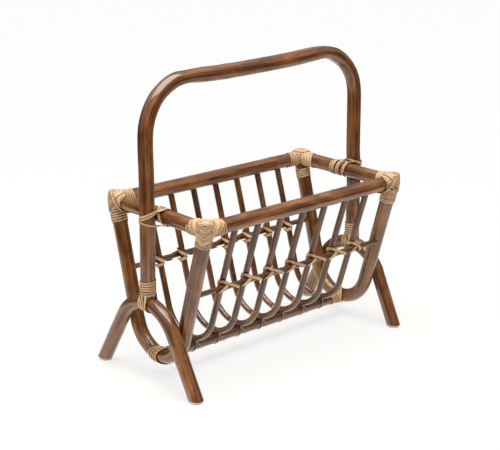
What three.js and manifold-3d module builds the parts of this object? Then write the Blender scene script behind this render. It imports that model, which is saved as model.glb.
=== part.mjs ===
// Rattan magazine rack: a rim of four rails on two end hoops, seven bent ribs over a keel rod,
// two leg arches, and one bent carrying handle, all bound at the joints with strips of rattan peel.
// Millimetres, +Z up. X runs along the rack, the front long rail is at -Y, the floor is Z = 0.

import * as THREE from 'three';
import { mergeVertices } from 'three/addons/utils/BufferGeometryUtils.js';
import Module from 'manifold-3d';

const wasm = await Module();
wasm.setup();

// Rim
const RIM_LENGTH = 403; // between the centre lines of the two end rails
const RIM_WIDTH = 208; // between the centre lines of the two long rails
const RIM_HEIGHT = 259.5; // floor to the rails' centre lines
const RAIL_DIAMETER = 23;

// End hoops
const HOOP_DIAMETER = 23;
const HOOP_BOTTOM_RADIUS = 57;
const HOOP_BOTTOM_HEIGHT = 35;

// Leg arches and glides
const ARCH_DIAMETER = 22.5;
const ARCH_TOP_RADIUS = 68.6;
const ARCH_TOP_HEIGHT = 125;
const LEFT_FLOOR_SPREAD = 224; // between the left arch's two legs' centre lines at the floor
const RIGHT_FLOOR_SPREAD = 208; // the same at the right arch, which is bent a little closer
const GLIDE_DIAMETER = 21.5;
const GLIDE_HEIGHT = 4.5;
const GLIDE_CHAMFER = 1.5;

// Handle. It is bent by hand: its right leg leans in and its corners differ.
const HANDLE_DIAMETER = 23;
const HANDLE_TOP_HEIGHT = 461;
const HANDLE_LEFT_REACH = 226.5; // from the rack's middle to the leg below the corner
const HANDLE_RIGHT_REACH = 219;
const HANDLE_LEFT_RADIUS = 74;
const HANDLE_RIGHT_RADIUS = 86;

// Ribs, keel and stringers
const RIB_COUNT = 7;
const RIB_PITCH = 47.3;
const RIB_DIAMETER = 9.8;
const RIB_BOTTOM_RADIUS = 54;
const RIB_SOCKET_DEPTH = 7;
const KEEL_DIAMETER = 19;
const KEEL_HEIGHT = 33.5;
const STRINGER_DIAMETER = 8.4;
const STRINGER_HEIGHT = 153;
const STRINGER_SOCKET_DEPTH = 6;

// Hidden pins and dowels
const PIN_DIAMETER = 2.4;
const PIN_GRIP = 20; // length that a pin reaches into the second pole
const PIN_SET = 1.2; // depth of the pin's blunt end below the pole's surface
const PIN_SPREAD = 5; // distance between the two pins' lines at a corner
const DOWEL_DIAMETER = 8;
const DOWEL_LENGTH = 36;

// Peel strips
const PEEL_WIDTH = 3.2;
const PEEL_THICKNESS = 0.8;
const PEEL_SPACE = 0.8; // between neighbouring turns
const PEEL_GAP = 0.4; // between a strip and the piece under it
const PEEL_LAYER = 1.6; // rise of a strip where it crosses over another
const NARROW_PEEL_WIDTH = 2.6;
const CORNER_TURNS = 3;
const LEFT_RAIL_TURNS = 1;
const RIGHT_RAIL_TURNS = 5;
const FOOT_TURNS = 3;
const FOOT_LOOPS = 3;
const KEEL_END_LOOPS = 3;
const HANDLE_LOOPS = 2;

// Rises of the strips where they pass over others, as shares of the layer
const KEEL_CROSS_SHARE = 1.5;
const KEEL_PASS_SHARES = [0.5, 1];
const STRINGER_START_SHARES = [1.4, 1.2];
const STRINGER_CROSS_SHARE = 1.8;
const STRINGER_LEAVE_SHARE = 0.5;

// Where the strips lie round their pieces, as shares of a full turn
const CORNER_LEG_SHARES = [0.625, 0.75, 0.8, 0.5];
const CORNER_RAIL_SHARES = [0.1, 0.05];
const HANDLE_RAIL_SHARES = [-0.375, -0.25, -0.125, 0.2, 0.3, 0.75];
const HANDLE_LEG_SHARES = [0.03, 0.7, 0.8];
const RAIL_TURNS_SHARE = 0.45;
const KEEL_END_SHARES = [0.2, 0.3, 0.7, 0.8];
const KEEL_SIDE_SHARES = [0.583, 0.417, 0.083, -0.083];
const KEEL_RIB_SHARES = [0.2, 0.08];
const KEEL_PASS_TURN_SHARE = 0.2;
const RIB_BACK_SHARES = [0.45, 0.33, 0.17, 0.05];
const RIB_BACK_HEIGHT_SHARES = [-1, -1 / 3, 1 / 3, 1]; // of the rib's radius
const STRINGER_TURN_SHARES = [0.17, 0.3, 0.33, 0.5, 0.67, 0.83, 1, 1.08];

// Measuring a strip's least gap to itself: how many widths along the strip are left out as its
// own bend, and the shares of a step at which points are taken
const GAP_MEASURE_REACH = 2.5;
const GAP_MEASURE_SHARES = [0, 0.5];

// Clearances
const SEAT_GAP = 0.3; // between pieces that touch
const SOCKET_FIT = 0.3; // round a piece in its socket
const OVERRUN = 4; // of a cutter past the face that it opens

// Fineness of the facets
const POLE_SIDES = 12;
const ROD_SIDES = 8;
const PIN_SIDES = 6;
const BEND_STEPS = 10;
const RIB_BEND_STEPS = 10;
const TURN_STEPS = 9;
const HOOP_TURN_STEPS = 8;
const COARSE_TURN_STEPS = 6;

// Places that follow from the sizes above
const endX = RIM_LENGTH / 2;
const sideY = RIM_WIDTH / 2;
const railR = RAIL_DIAMETER / 2;
const hoopR = HOOP_DIAMETER / 2;
const archR = ARCH_DIAMETER / 2;
const handleR = HANDLE_DIAMETER / 2;
const ribR = RIB_DIAMETER / 2;
const keelR = KEEL_DIAMETER / 2;
const stringerR = STRINGER_DIAMETER / 2;
const legX = endX + Math.max(railR + handleR, hoopR + archR) + SEAT_GAP;
const ribBottom = KEEL_HEIGHT + keelR + SEAT_GAP + ribR;
const rimCorner = new THREE.Vector2(sideY, RIM_HEIGHT);

const UP = new THREE.Vector3(0, 0, 1);
const RATTAN = { color: 0x6b3a1e, roughness: 0.38, metalness: 0 };
const PEEL = { color: 0xc79a66, roughness: 0.6, metalness: 0 };
const PLASTIC = { color: 0xd9d3c2, roughness: 0.5, metalness: 0 };
const STEEL = { color: 0x8f9296, roughness: 0.35, metalness: 1 };

function xyz(x, y, z) {
  return new THREE.Vector3(x, y, z);
}

// The centre line of a pole. Its tube has one ring at each of the given points.
class PoleLine extends THREE.Curve {
  constructor(points) {
    super();
    this.points = points;
  }

  getPointAt(u, target = new THREE.Vector3()) {
    const place = Math.round(u * (this.points.length - 1));
    return target.copy(this.points[place]);
  }

  getTangentAt(u, target = new THREE.Vector3()) {
    const place = Math.round(u * (this.points.length - 1));
    const last = this.points.length - 1;
    const into = directionOf(this.points, Math.max(place - 1, 0));
    const onward = directionOf(this.points, Math.min(place, last - 1));
    return target.addVectors(into, onward).normalize();
  }
}

function directionOf(points, index) {
  return new THREE.Vector3().subVectors(points[index + 1], points[index]).normalize();
}

function roundSection(radius, sides) {
  const corners = [];
  for (let side = 0; side < sides; side += 1) {
    const angle = (2 * Math.PI * side) / sides;
    corners.push(new THREE.Vector2(radius * Math.cos(angle), radius * Math.sin(angle)));
  }
  return new THREE.Shape(corners);
}

function pole(points, radius, sides) {
  return new THREE.ExtrudeGeometry(roundSection(radius, sides), {
    steps: points.length - 1,
    extrudePath: new PoleLine(points),
  });
}

// Cutting: a geometry becomes a solid, and the cut solid a geometry again
function solidOf(geometry) {
  const bare = geometry.clone();
  bare.deleteAttribute('normal');
  bare.deleteAttribute('uv');
  const merged = mergeVertices(bare);
  return new wasm.Manifold(new wasm.Mesh({
    numProp: 3,
    vertProperties: new Float32Array(merged.attributes.position.array),
    triVerts: new Uint32Array(merged.index.array),
  }));
}

function geometryOf(solid) {
  const mesh = solid.getMesh();
  const geometry = new THREE.BufferGeometry();
  geometry.setAttribute('position', new THREE.BufferAttribute(mesh.vertProperties, 3));
  geometry.setIndex(new THREE.BufferAttribute(mesh.triVerts, 1));
  const faceted = geometry.toNonIndexed();
  faceted.computeVertexNormals();
  return faceted;
}

function cut(geometry, cutters) {
  let solid = solidOf(geometry);
  for (const cutter of cutters) {
    solid = solid.subtract(solidOf(cutter));
  }
  return geometryOf(solid);
}

// The part of a cut pole that holds its middle, without slivers cut loose beyond a joint
function mainPiece(geometry) {
  const pieces = solidOf(geometry).decompose();
  pieces.sort((first, second) => second.volume() - first.volume());
  return geometryOf(pieces[0]);
}

function rod(from, to, radius, sides) {
  return pole([from, to], radius, sides);
}

const rack = new THREE.Group();

function add(name, geometry, finish, place = xyz(0, 0, 0)) {
  const mesh = new THREE.Mesh(geometry, new THREE.MeshStandardMaterial(finish));
  mesh.name = name;
  mesh.position.copy(place);
  rack.add(mesh);
  return mesh;
}

// U shapes in the YZ plane: a round bottom or top, and two straight legs that run tangent
// from it to a corner point. The angle is that of the +Y tangent point from the centre.
function tangentAngle(corner, centreZ, radius) {
  const reach = new THREE.Vector2(corner.x, corner.y - centreZ);
  return Math.atan2(reach.y, reach.x) - Math.sign(reach.y) * Math.acos(radius / reach.length());
}

function bow(corner, extremeZ, radius, steps) {
  const opens = Math.sign(corner.y - extremeZ); // 1 for a U, -1 for an arch
  const centreZ = extremeZ + opens * radius;
  return { corner, radius, steps, centreZ, opens, angle: tangentAngle(corner, centreZ, radius) };
}

const hoopBow = bow(rimCorner, HOOP_BOTTOM_HEIGHT, HOOP_BOTTOM_RADIUS, BEND_STEPS);
const ribBow = bow(rimCorner, ribBottom, RIB_BOTTOM_RADIUS, RIB_BEND_STEPS);

function archBow(end) {
  const corner = new THREE.Vector2((end < 0 ? LEFT_FLOOR_SPREAD : RIGHT_FLOOR_SPREAD) / 2, 0);
  return bow(corner, ARCH_TOP_HEIGHT, ARCH_TOP_RADIUS, BEND_STEPS);
}

// The unit vector from a bow's straight leg's tangent point to its corner
function legDirection(shape) {
  const tangent = bowPoint(shape, shape.angle);
  return new THREE.Vector2(shape.corner.x - tangent.x, shape.corner.y - tangent.y).normalize();
}

function bowPoint(shape, angle) {
  return new THREE.Vector2(
    shape.radius * Math.cos(angle),
    shape.centreZ + shape.radius * Math.sin(angle),
  );
}

// Half width of a bow's centre line at a height
function bowHalfWidth(shape, height) {
  const tangent = bowPoint(shape, shape.angle);
  if (shape.opens * (height - tangent.y) > 0) {
    const along = legDirection(shape);
    return tangent.x + ((height - tangent.y) * along.x) / along.y;
  }
  const rise = height - shape.centreZ;
  return Math.sqrt(Math.max(shape.radius ** 2 - rise ** 2, 0));
}

// Points of a bow's centre line from its -Y end to its +Y end. Each end lies short of the
// corner point by the given length along the leg.
function bowPoints(shape, x, short) {
  const along = legDirection(shape);
  const end = new THREE.Vector2(shape.corner.x - along.x * short, shape.corner.y - along.y * short);
  const points = [xyz(x, -end.x, end.y)];
  const from = Math.PI - shape.angle;
  const middle = shape.opens > 0 ? (3 * Math.PI) / 2 : Math.PI / 2;
  for (let step = 0; step <= shape.steps; step += 1) {
    const angle = from + (2 * (middle - from) * step) / shape.steps;
    const point = bowPoint(shape, angle);
    points.push(xyz(x, point.x, point.y));
  }
  points.push(xyz(x, end.x, end.y));
  return points;
}

// The leg's direction in space on one side of a bow, towards the corner
function legAlong(shape, side) {
  const along = legDirection(shape);
  return xyz(0, side * along.x, along.y);
}

// Rim rails
function longRailRod(side, radius, reach) {
  const half = endX + reach;
  return rod(xyz(-half, side * sideY, RIM_HEIGHT), xyz(half, side * sideY, RIM_HEIGHT), radius, POLE_SIDES);
}

function ribX(index) {
  return (index - (RIB_COUNT - 1) / 2) * RIB_PITCH;
}

function ribSocket(side, index) {
  const corner = xyz(ribX(index), side * sideY, RIM_HEIGHT);
  const along = legAlong(ribBow, side);
  const seat = corner.clone().addScaledVector(along, -(railR - RIB_SOCKET_DEPTH));
  const mouth = corner.clone().addScaledVector(along, -(railR + OVERRUN));
  return rod(mouth, seat.addScaledVector(along, SOCKET_FIT), ribR + SOCKET_FIT, ROD_SIDES);
}

// The straight line of each hidden pin, from its blunt end to its point
function pinLines() {
  const lines = [];
  for (const end of [-1, 1]) {
    for (const side of [-1, 1]) {
      const corner = xyz(end * endX, side * sideY, RIM_HEIGHT);
      const down = legAlong(hoopBow, side).negate();
      lines.push({
        name: `${endName(end)}_${sideName(side)}_hoop_pin`,
        from: corner.clone().addScaledVector(down, -(railR - PIN_SET)),
        to: corner.clone().addScaledVector(down, railR + PIN_GRIP),
      });
      const across = xyz((end * (endX + PIN_SPREAD)), side * sideY, RIM_HEIGHT);
      const depth = Math.sqrt(railR ** 2 - PIN_SPREAD ** 2);
      lines.push({
        name: `${endName(end)}_${sideName(side)}_rail_pin`,
        from: across.clone().setY(side * (sideY + railR - PIN_SET)),
        to: across.clone().setY(side * (sideY - depth - PIN_GRIP)),
      });
      const meet = archHoopCrossing(end);
      lines.push({
        name: `${endName(end)}_${sideName(side)}_arch_pin`,
        from: xyz(end * (endX - hoopR + PIN_SET), side * meet.x, meet.y),
        to: xyz(end * (legX + archR / 2), side * meet.x, meet.y),
      });
    }
    lines.push({
      name: `${endName(end)}_handle_pin`,
      from: xyz(end * (endX - railR + PIN_SET), 0, RIM_HEIGHT),
      to: xyz(end * (legX + handleR / 2), 0, RIM_HEIGHT),
    });
    lines.push({
      name: `${endName(end)}_keel_pin`,
      from: xyz(end * (endX + hoopR - PIN_SET), 0, KEEL_HEIGHT),
      to: xyz(end * (endX - hoopR - PIN_GRIP), 0, KEEL_HEIGHT),
    });
  }
  return lines;
}

function endName(end) {
  return end < 0 ? 'left' : 'right';
}

function sideName(side) {
  return side < 0 ? 'front' : 'back';
}

// Where the arch's leg and the hoop's leg cross in the end view, found by halving
function archHoopCrossing(end) {
  let low = hoopBow.centreZ - HOOP_BOTTOM_RADIUS / 2;
  let high = ARCH_TOP_HEIGHT;
  while (high - low > SEAT_GAP / 10) {
    const height = (low + high) / 2;
    if (bowHalfWidth(archBow(end), height) > bowHalfWidth(hoopBow, height)) {
      low = height;
    } else {
      high = height;
    }
  }
  return new THREE.Vector2(bowHalfWidth(hoopBow, low), low);
}

const PINS = pinLines();

// A pin has a flat end and a pointed one
function pin(line) {
  const along = line.to.clone().sub(line.from);
  const length = along.length();
  const profile = [
    new THREE.Vector2(0, 0),
    new THREE.Vector2(PIN_DIAMETER / 2, 0),
    new THREE.Vector2(PIN_DIAMETER / 2, length - PIN_DIAMETER),
    new THREE.Vector2(0, length),
  ];
  const body = new THREE.LatheGeometry(profile, PIN_SIDES);
  body.applyQuaternion(new THREE.Quaternion().setFromUnitVectors(xyz(0, 1, 0), along.normalize()));
  return body.translate(line.from.x, line.from.y, line.from.z);
}

// Bores for the pins whose names end in one of the words, where they pass through a piece
function pinBores(words) {
  const bores = [];
  for (const line of PINS) {
    if (words.some((word) => line.name.endsWith(word))) {
      const along = line.to.clone().sub(line.from).normalize();
      const from = line.from.clone().addScaledVector(along, -OVERRUN);
      const to = line.to.clone().addScaledVector(along, SOCKET_FIT);
      bores.push(rod(from, to, PIN_DIAMETER / 2 + SOCKET_FIT, PIN_SIDES));
    }
  }
  return bores;
}

function sidePinBores(end, side) {
  const place = `${endName(end)}_${sideName(side)}`;
  return pinBores([`${place}_hoop_pin`, `${place}_rail_pin`]);
}

function addLongRail(side) {
  const sockets = [];
  for (let index = 0; index < RIB_COUNT; index += 1) {
    sockets.push(ribSocket(side, index));
  }
  const bores = [...sidePinBores(-1, side), ...sidePinBores(1, side)];
  const body = cut(longRailRod(side, railR, railR), [...sockets, ...bores]);
  add(`${sideName(side)}_rail`, body, RATTAN);
}

function endRailRod(end, radius) {
  return rod(xyz(end * endX, -sideY, RIM_HEIGHT), xyz(end * endX, sideY, RIM_HEIGHT), radius, POLE_SIDES);
}

function addEndRail(end) {
  const copes = [
    longRailRod(-1, railR + SEAT_GAP, railR + OVERRUN),
    longRailRod(1, railR + SEAT_GAP, railR + OVERRUN),
  ];
  const bores = pinBores([`${endName(end)}_front_rail_pin`, `${endName(end)}_back_rail_pin`,
    `${endName(end)}_front_hoop_pin`, `${endName(end)}_back_hoop_pin`,
    `${endName(end)}_handle_pin`]);
  add(`${endName(end)}_end_rail`, mainPiece(cut(endRailRod(end, railR), [...copes, ...bores])), RATTAN);
}

// End hoops
function stringerY() {
  const lean = Math.atan2(legDirection(ribBow).x, legDirection(ribBow).y);
  return bowHalfWidth(ribBow, STRINGER_HEIGHT) + (ribR + SEAT_GAP + stringerR) / Math.cos(lean);
}

function stringerRod(side, half, radius) {
  const y = side * stringerY();
  return rod(xyz(-half, y, STRINGER_HEIGHT), xyz(half, y, STRINGER_HEIGHT), radius, ROD_SIDES);
}

function stringerHalf() {
  const offset = stringerY() - bowHalfWidth(hoopBow, STRINGER_HEIGHT);
  return endX - Math.sqrt(Math.max(hoopR ** 2 - offset ** 2, 0)) + STRINGER_SOCKET_DEPTH;
}

function addHoop(end) {
  const body = pole(bowPoints(hoopBow, end * endX, 0), hoopR, POLE_SIDES);
  const half = stringerHalf() + SOCKET_FIT;
  const cutters = [
    longRailRod(-1, railR + SEAT_GAP, railR + OVERRUN),
    longRailRod(1, railR + SEAT_GAP, railR + OVERRUN),
    endRailRod(end, railR + SEAT_GAP),
    stringerRod(-1, half, stringerR + SOCKET_FIT),
    stringerRod(1, half, stringerR + SOCKET_FIT),
    ...pinBores([`${endName(end)}_front_hoop_pin`, `${endName(end)}_back_hoop_pin`,
      `${endName(end)}_front_arch_pin`, `${endName(end)}_back_arch_pin`,
      `${endName(end)}_keel_pin`]),
  ];
  add(`${endName(end)}_end_hoop`, mainPiece(cut(body, cutters)), RATTAN);
}

// Leg arches stand on the glides, cut level just above them
function dowelLine(end) {
  return {
    from: xyz(end * legX, 0, ARCH_TOP_HEIGHT + archR + DOWEL_LENGTH / 2),
    to: xyz(end * legX, 0, ARCH_TOP_HEIGHT + archR - DOWEL_LENGTH / 2),
  };
}

function dowelBore(end) {
  const line = dowelLine(end);
  line.from.z += SOCKET_FIT;
  line.to.z -= SOCKET_FIT;
  return rod(line.from, line.to, DOWEL_DIAMETER / 2 + SOCKET_FIT, ROD_SIDES);
}

function floorCutter() {
  const span = Math.max(LEFT_FLOOR_SPREAD, RIGHT_FLOOR_SPREAD) + ARCH_DIAMETER * 2;
  const depth = ARCH_DIAMETER * 2;
  const slab = new THREE.BoxGeometry(2 * (legX + ARCH_DIAMETER), span, depth);
  slab.translate(0, 0, GLIDE_HEIGHT + SEAT_GAP - depth / 2);
  return slab;
}

function addArch(end) {
  const body = pole(bowPoints(archBow(end), end * legX, -ARCH_DIAMETER / 2), archR, POLE_SIDES);
  const cutters = [
    floorCutter(),
    dowelBore(end),
    ...pinBores([`${endName(end)}_front_arch_pin`, `${endName(end)}_back_arch_pin`]),
  ];
  add(`${endName(end)}_leg_arch`, mainPiece(cut(body, cutters)), RATTAN);
  const line = dowelLine(end);
  add(`${endName(end)}_handle_dowel`, rod(line.from, line.to, DOWEL_DIAMETER / 2, ROD_SIDES), RATTAN);
}

function footY(end) {
  return bowHalfWidth(archBow(end), GLIDE_HEIGHT);
}

function addGlide(end, side) {
  const radius = GLIDE_DIAMETER / 2;
  const profile = [
    new THREE.Vector2(0, 0),
    new THREE.Vector2(radius - GLIDE_CHAMFER, 0),
    new THREE.Vector2(radius, GLIDE_CHAMFER),
    new THREE.Vector2(radius, GLIDE_HEIGHT),
    new THREE.Vector2(0, GLIDE_HEIGHT),
  ];
  const disc = new THREE.LatheGeometry(profile, POLE_SIDES);
  disc.rotateX(Math.PI / 2);
  add(`${endName(end)}_${sideName(side)}_glide`, disc, PLASTIC, xyz(end * legX, side * footY(end), 0));
}

// Handle: two upright legs, two round corners and a level grip, coped on the arches' tops
function handlePoints() {
  const straight = RIM_HEIGHT + railR;
  const points = [xyz(-legX, 0, ARCH_TOP_HEIGHT), xyz(-legX, 0, straight)];
  for (const end of [-1, 1]) {
    const radius = end < 0 ? HANDLE_LEFT_RADIUS : HANDLE_RIGHT_RADIUS;
    const centreX = end < 0 ? radius - HANDLE_LEFT_REACH : HANDLE_RIGHT_REACH - radius;
    const centreZ = HANDLE_TOP_HEIGHT - radius;
    for (let step = 0; step <= BEND_STEPS; step += 1) {
      const turn = (Math.PI / 2) * (step / BEND_STEPS);
      const angle = end < 0 ? Math.PI - turn : Math.PI / 2 - turn;
      points.push(xyz(centreX + radius * Math.cos(angle), 0, centreZ + radius * Math.sin(angle)));
    }
  }
  points.push(xyz(legX, 0, straight), xyz(legX, 0, ARCH_TOP_HEIGHT));
  return points;
}

function addHandle() {
  const cutters = [
    pole(bowPoints(archBow(-1), -legX, 0), archR + SEAT_GAP, POLE_SIDES),
    pole(bowPoints(archBow(1), legX, 0), archR + SEAT_GAP, POLE_SIDES),
    dowelBore(-1),
    dowelBore(1),
    ...pinBores(['_handle_pin']),
  ];
  add('handle_hoop', mainPiece(cut(pole(handlePoints(), handleR, POLE_SIDES), cutters)), RATTAN);
}

// Ribs, keel and stringers
function addRibs() {
  const short = railR - RIB_SOCKET_DEPTH;
  const body = pole(bowPoints(ribBow, 0, short), ribR, ROD_SIDES);
  for (let index = 0; index < RIB_COUNT; index += 1) {
    add(`rib_${index + 1}`, body, RATTAN, xyz(ribX(index), 0, 0));
  }
}

function addKeel() {
  const body = rod(xyz(-endX, 0, KEEL_HEIGHT), xyz(endX, 0, KEEL_HEIGHT), keelR, POLE_SIDES);
  const cutters = [
    pole(bowPoints(hoopBow, -endX, 0), hoopR + SEAT_GAP, POLE_SIDES),
    pole(bowPoints(hoopBow, endX, 0), hoopR + SEAT_GAP, POLE_SIDES),
    ...pinBores(['_keel_pin']),
  ];
  add('keel_rod', mainPiece(cut(body, cutters)), RATTAN);
}

function addStringers() {
  add('front_stringer', stringerRod(-1, stringerHalf(), stringerR), RATTAN);
  add('back_stringer', stringerRod(1, stringerHalf(), stringerR), RATTAN);
}

// Strips of peel. A stop is a point on the strip's middle line and the way its outer face looks.
// A spool is a round piece that a strip turns round, with its cross directions at each place.
const PITCH = PEEL_WIDTH + PEEL_SPACE;
const SLANT_PITCH = PITCH * Math.SQRT2;
const FULL_TURN = 2 * Math.PI;

function wrapRadius(radius, steps) {
  return (radius + PEEL_GAP + PEEL_THICKNESS / 2) / Math.cos(Math.PI / steps);
}

function straightSpool(origin, ahead, first, second, radius, steps = TURN_STEPS) {
  const frame = (along) => ({ centre: origin.clone().addScaledVector(ahead, along), first, second });
  return { reach: wrapRadius(radius, steps), frame };
}

// The places along a bow are their Y, and the second direction points away from its centre
function bowSpool(shape, x, first, radius, steps = TURN_STEPS) {
  const line = bowPoints(shape, x, 0);
  const frame = (y) => {
    const after = line.findIndex((point) => point.y > y);
    const share = (y - line[after - 1].y) / (line[after].y - line[after - 1].y);
    const centre = line[after - 1].clone().lerp(line[after], share);
    return { centre, first, second: xyz(0, y, centre.z - shape.centreZ).normalize() };
  };
  return { reach: wrapRadius(radius, steps), frame };
}

// The turn is a share of a full turn, from the first cross direction to the second
function stop(spool, turn, along, layer = 0) {
  const { centre, first, second } = spool.frame(along);
  const angle = turn * FULL_TURN;
  const out = first.clone().multiplyScalar(Math.cos(angle)).addScaledVector(second, Math.sin(angle));
  return { at: centre.addScaledVector(out, spool.reach + layer * PEEL_LAYER), out };
}

function turns(spool, fromTurn, toTurn, fromAlong, toAlong) {
  const steps = Math.ceil(Math.abs(toTurn - fromTurn) * TURN_STEPS);
  const stops = [];
  for (let step = 0; step <= steps; step += 1) {
    const turn = fromTurn + ((toTurn - fromTurn) * step) / steps;
    stops.push(stop(spool, turn, fromAlong + ((toAlong - fromAlong) * step) / steps));
  }
  return stops;
}

// The four corner points of a strip's section at each stop
function sections(stops, width) {
  const last = stops.length - 1;
  return stops.map(({ at, out }, index) => {
    const into = at.clone().sub(stops[Math.max(index - 1, 0)].at).normalize();
    const onward = stops[Math.min(index + 1, last)].at.clone().sub(at).normalize();
    const tangent = into.add(onward).normalize();
    const across = tangent.clone().cross(out).setLength(width / 2);
    const outward = across.clone().cross(tangent).setLength(PEEL_THICKNESS / 2);
    const corner = (wide, high) => at.clone().addScaledVector(across, wide).addScaledVector(outward, high);
    return [corner(-1, -1), corner(1, -1), corner(1, 1), corner(-1, 1)];
  });
}

// The triangles of a strip between two sections, or of its end at one section
function sideTriangles(near, far) {
  const triangles = [];
  near.forEach((point, index) => {
    const next = (index + 1) % near.length;
    triangles.push([point, far[index], near[next]], [near[next], far[index], far[next]]);
  });
  return triangles;
}

function peel(rings) {
  const first = rings[0];
  const last = rings[rings.length - 1];
  const triangles = [
    [first[0], first[1], first[2]],
    [first[0], first[2], first[3]],
    [last[2], last[1], last[0]],
    [last[3], last[2], last[0]],
  ];
  for (let index = 1; index < rings.length; index += 1) {
    triangles.push(...sideTriangles(rings[index - 1], rings[index]));
  }
  const geometry = new THREE.BufferGeometry().setFromPoints(triangles.flat());
  geometry.computeVertexNormals();
  return geometry;
}

// Least gap of a strip to itself, from points on its faces to its triangles further along
function leastGap(rings, width) {
  const middles = rings.map((ring) => ring[0].clone().add(ring[2]).divideScalar(2));
  const travel = [0];
  for (let index = 1; index < middles.length; index += 1) {
    travel.push(travel[index - 1] + middles[index].distanceTo(middles[index - 1]));
  }
  let least = Infinity;
  for (let here = 1; here < rings.length; here += 1) {
    const points = facePoints(rings[here - 1], rings[here]);
    for (let there = 1; there < rings.length; there += 1) {
      const between = Math.max(travel[there - 1] - travel[here], travel[here - 1] - travel[there]);
      const reach = travel[there] - travel[there - 1] + travel[here] - travel[here - 1] + width;
      const near = middles[here].distanceTo(middles[there]) < reach + least;
      if (between > GAP_MEASURE_REACH * width && (near || least === Infinity)) {
        least = Math.min(least, gapBetween(points, sideTriangles(rings[there - 1], rings[there])));
      }
    }
  }
  return least;
}

function facePoints(near, far) {
  const points = [];
  for (const share of GAP_MEASURE_SHARES) {
    const ring = near.map((point, index) => point.clone().lerp(far[index], share));
    ring.forEach((point, index) => {
      points.push(point, point.clone().lerp(ring[(index + 1) % ring.length], GAP_MEASURE_SHARES[1]));
    });
  }
  return points;
}

function gapBetween(points, triangles) {
  const nearest = new THREE.Vector3();
  let least = Infinity;
  for (const corners of triangles) {
    const triangle = new THREE.Triangle(...corners);
    for (const point of points) {
      triangle.closestPointToPoint(point, nearest);
      least = Math.min(least, point.distanceTo(nearest));
    }
  }
  return least;
}

function addLashing(name, stops, width = PEEL_WIDTH) {
  const rings = sections(stops, width);
  add(name, peel(rings), PEEL);
  console.log(`${name}: ${stops.length} stops, least gap to itself ${leastGap(rings, width).toFixed(2)} mm`);
}

// Corner lashing: turns on the leg, a slant up to the long rail, turns on it, a strip over both
// rails' tops to the end rail, turns back on that, and a slant down to the leg
function cornerRoute(end, side) {
  const corner = xyz(end * endX, side * sideY, RIM_HEIGHT);
  const inX = xyz(-end, 0, 0);
  const inY = xyz(0, -side, 0);
  const along = legDirection(hoopBow);
  const legIn = xyz(0, -side * along.y, along.x);
  const leg = straightSpool(corner, legAlong(hoopBow, side).negate(), inX, legIn, hoopR);
  const longRail = straightSpool(corner, inX, inY.clone().negate(), UP, railR);
  const endRail = straightSpool(corner, inY, inX.clone().negate(), UP, railR);
  const band = CORNER_TURNS * PITCH;
  const underRail = railR + SEAT_GAP + 2 * PEEL_THICKNESS;
  const legStart = (underRail + leg.reach * along.x) / along.y + (PEEL_WIDTH - PITCH) / 2;
  const longStart = Math.max(hoopR, railR) + SEAT_GAP + PEEL_THICKNESS + PEEL_SPACE + PEEL_WIDTH / 2;
  const endStart = (hoopR + underRail * along.x) / along.y + PEEL_SPACE + PEEL_WIDTH / 2;
  const longReach = longStart + band + PEEL_SPACE;
  const endReach = endStart + band + PEEL_SPACE;
  const [first, last, leave, end2] = CORNER_LEG_SHARES;
  const [lap, meet] = CORNER_RAIL_SHARES;
  return [
    ...turns(leg, first, last + CORNER_TURNS, legStart + band, legStart),
    stop(leg, leave, legStart - PITCH / 2),
    stop(longRail, -lap, longStart - PITCH),
    ...turns(longRail, 0, CORNER_TURNS + lap, longStart, longStart + band),
    ...capStops(corner, inX, inY, longRail, endRail, longReach, endReach),
    ...turns(endRail, lap, -CORNER_TURNS, endStart + band, endStart),
    stop(endRail, -meet, endStart - PITCH),
    stop(leg, end2, legStart - PITCH),
  ];
}

// The strip over the rails' tops, a layer up, from one rail's last turn to the other's first
function capStops(corner, inX, inY, longRail, endRail, longReach, endReach) {
  const level = longRail.reach + PEEL_LAYER;
  const bend = PEEL_WIDTH;
  const nick = bend * (1 - Math.SQRT1_2);
  const lean = 0.25 - Math.asin(bend / level) / FULL_TURN;
  const flat = (a, b) => {
    const at = corner.clone().addScaledVector(inX, a).addScaledVector(inY, b);
    return { at: at.addScaledVector(UP, level), out: UP };
  };
  return [
    stop(longRail, lean, longReach, 1),
    flat(longReach - nick, -nick),
    flat(longReach - bend, 0),
    flat(bend, 0),
    flat(nick, nick),
    flat(0, bend),
    flat(0, endReach - bend),
    flat(-nick, endReach - nick),
    stop(endRail, lean, endReach, 1),
  ];
}

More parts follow.
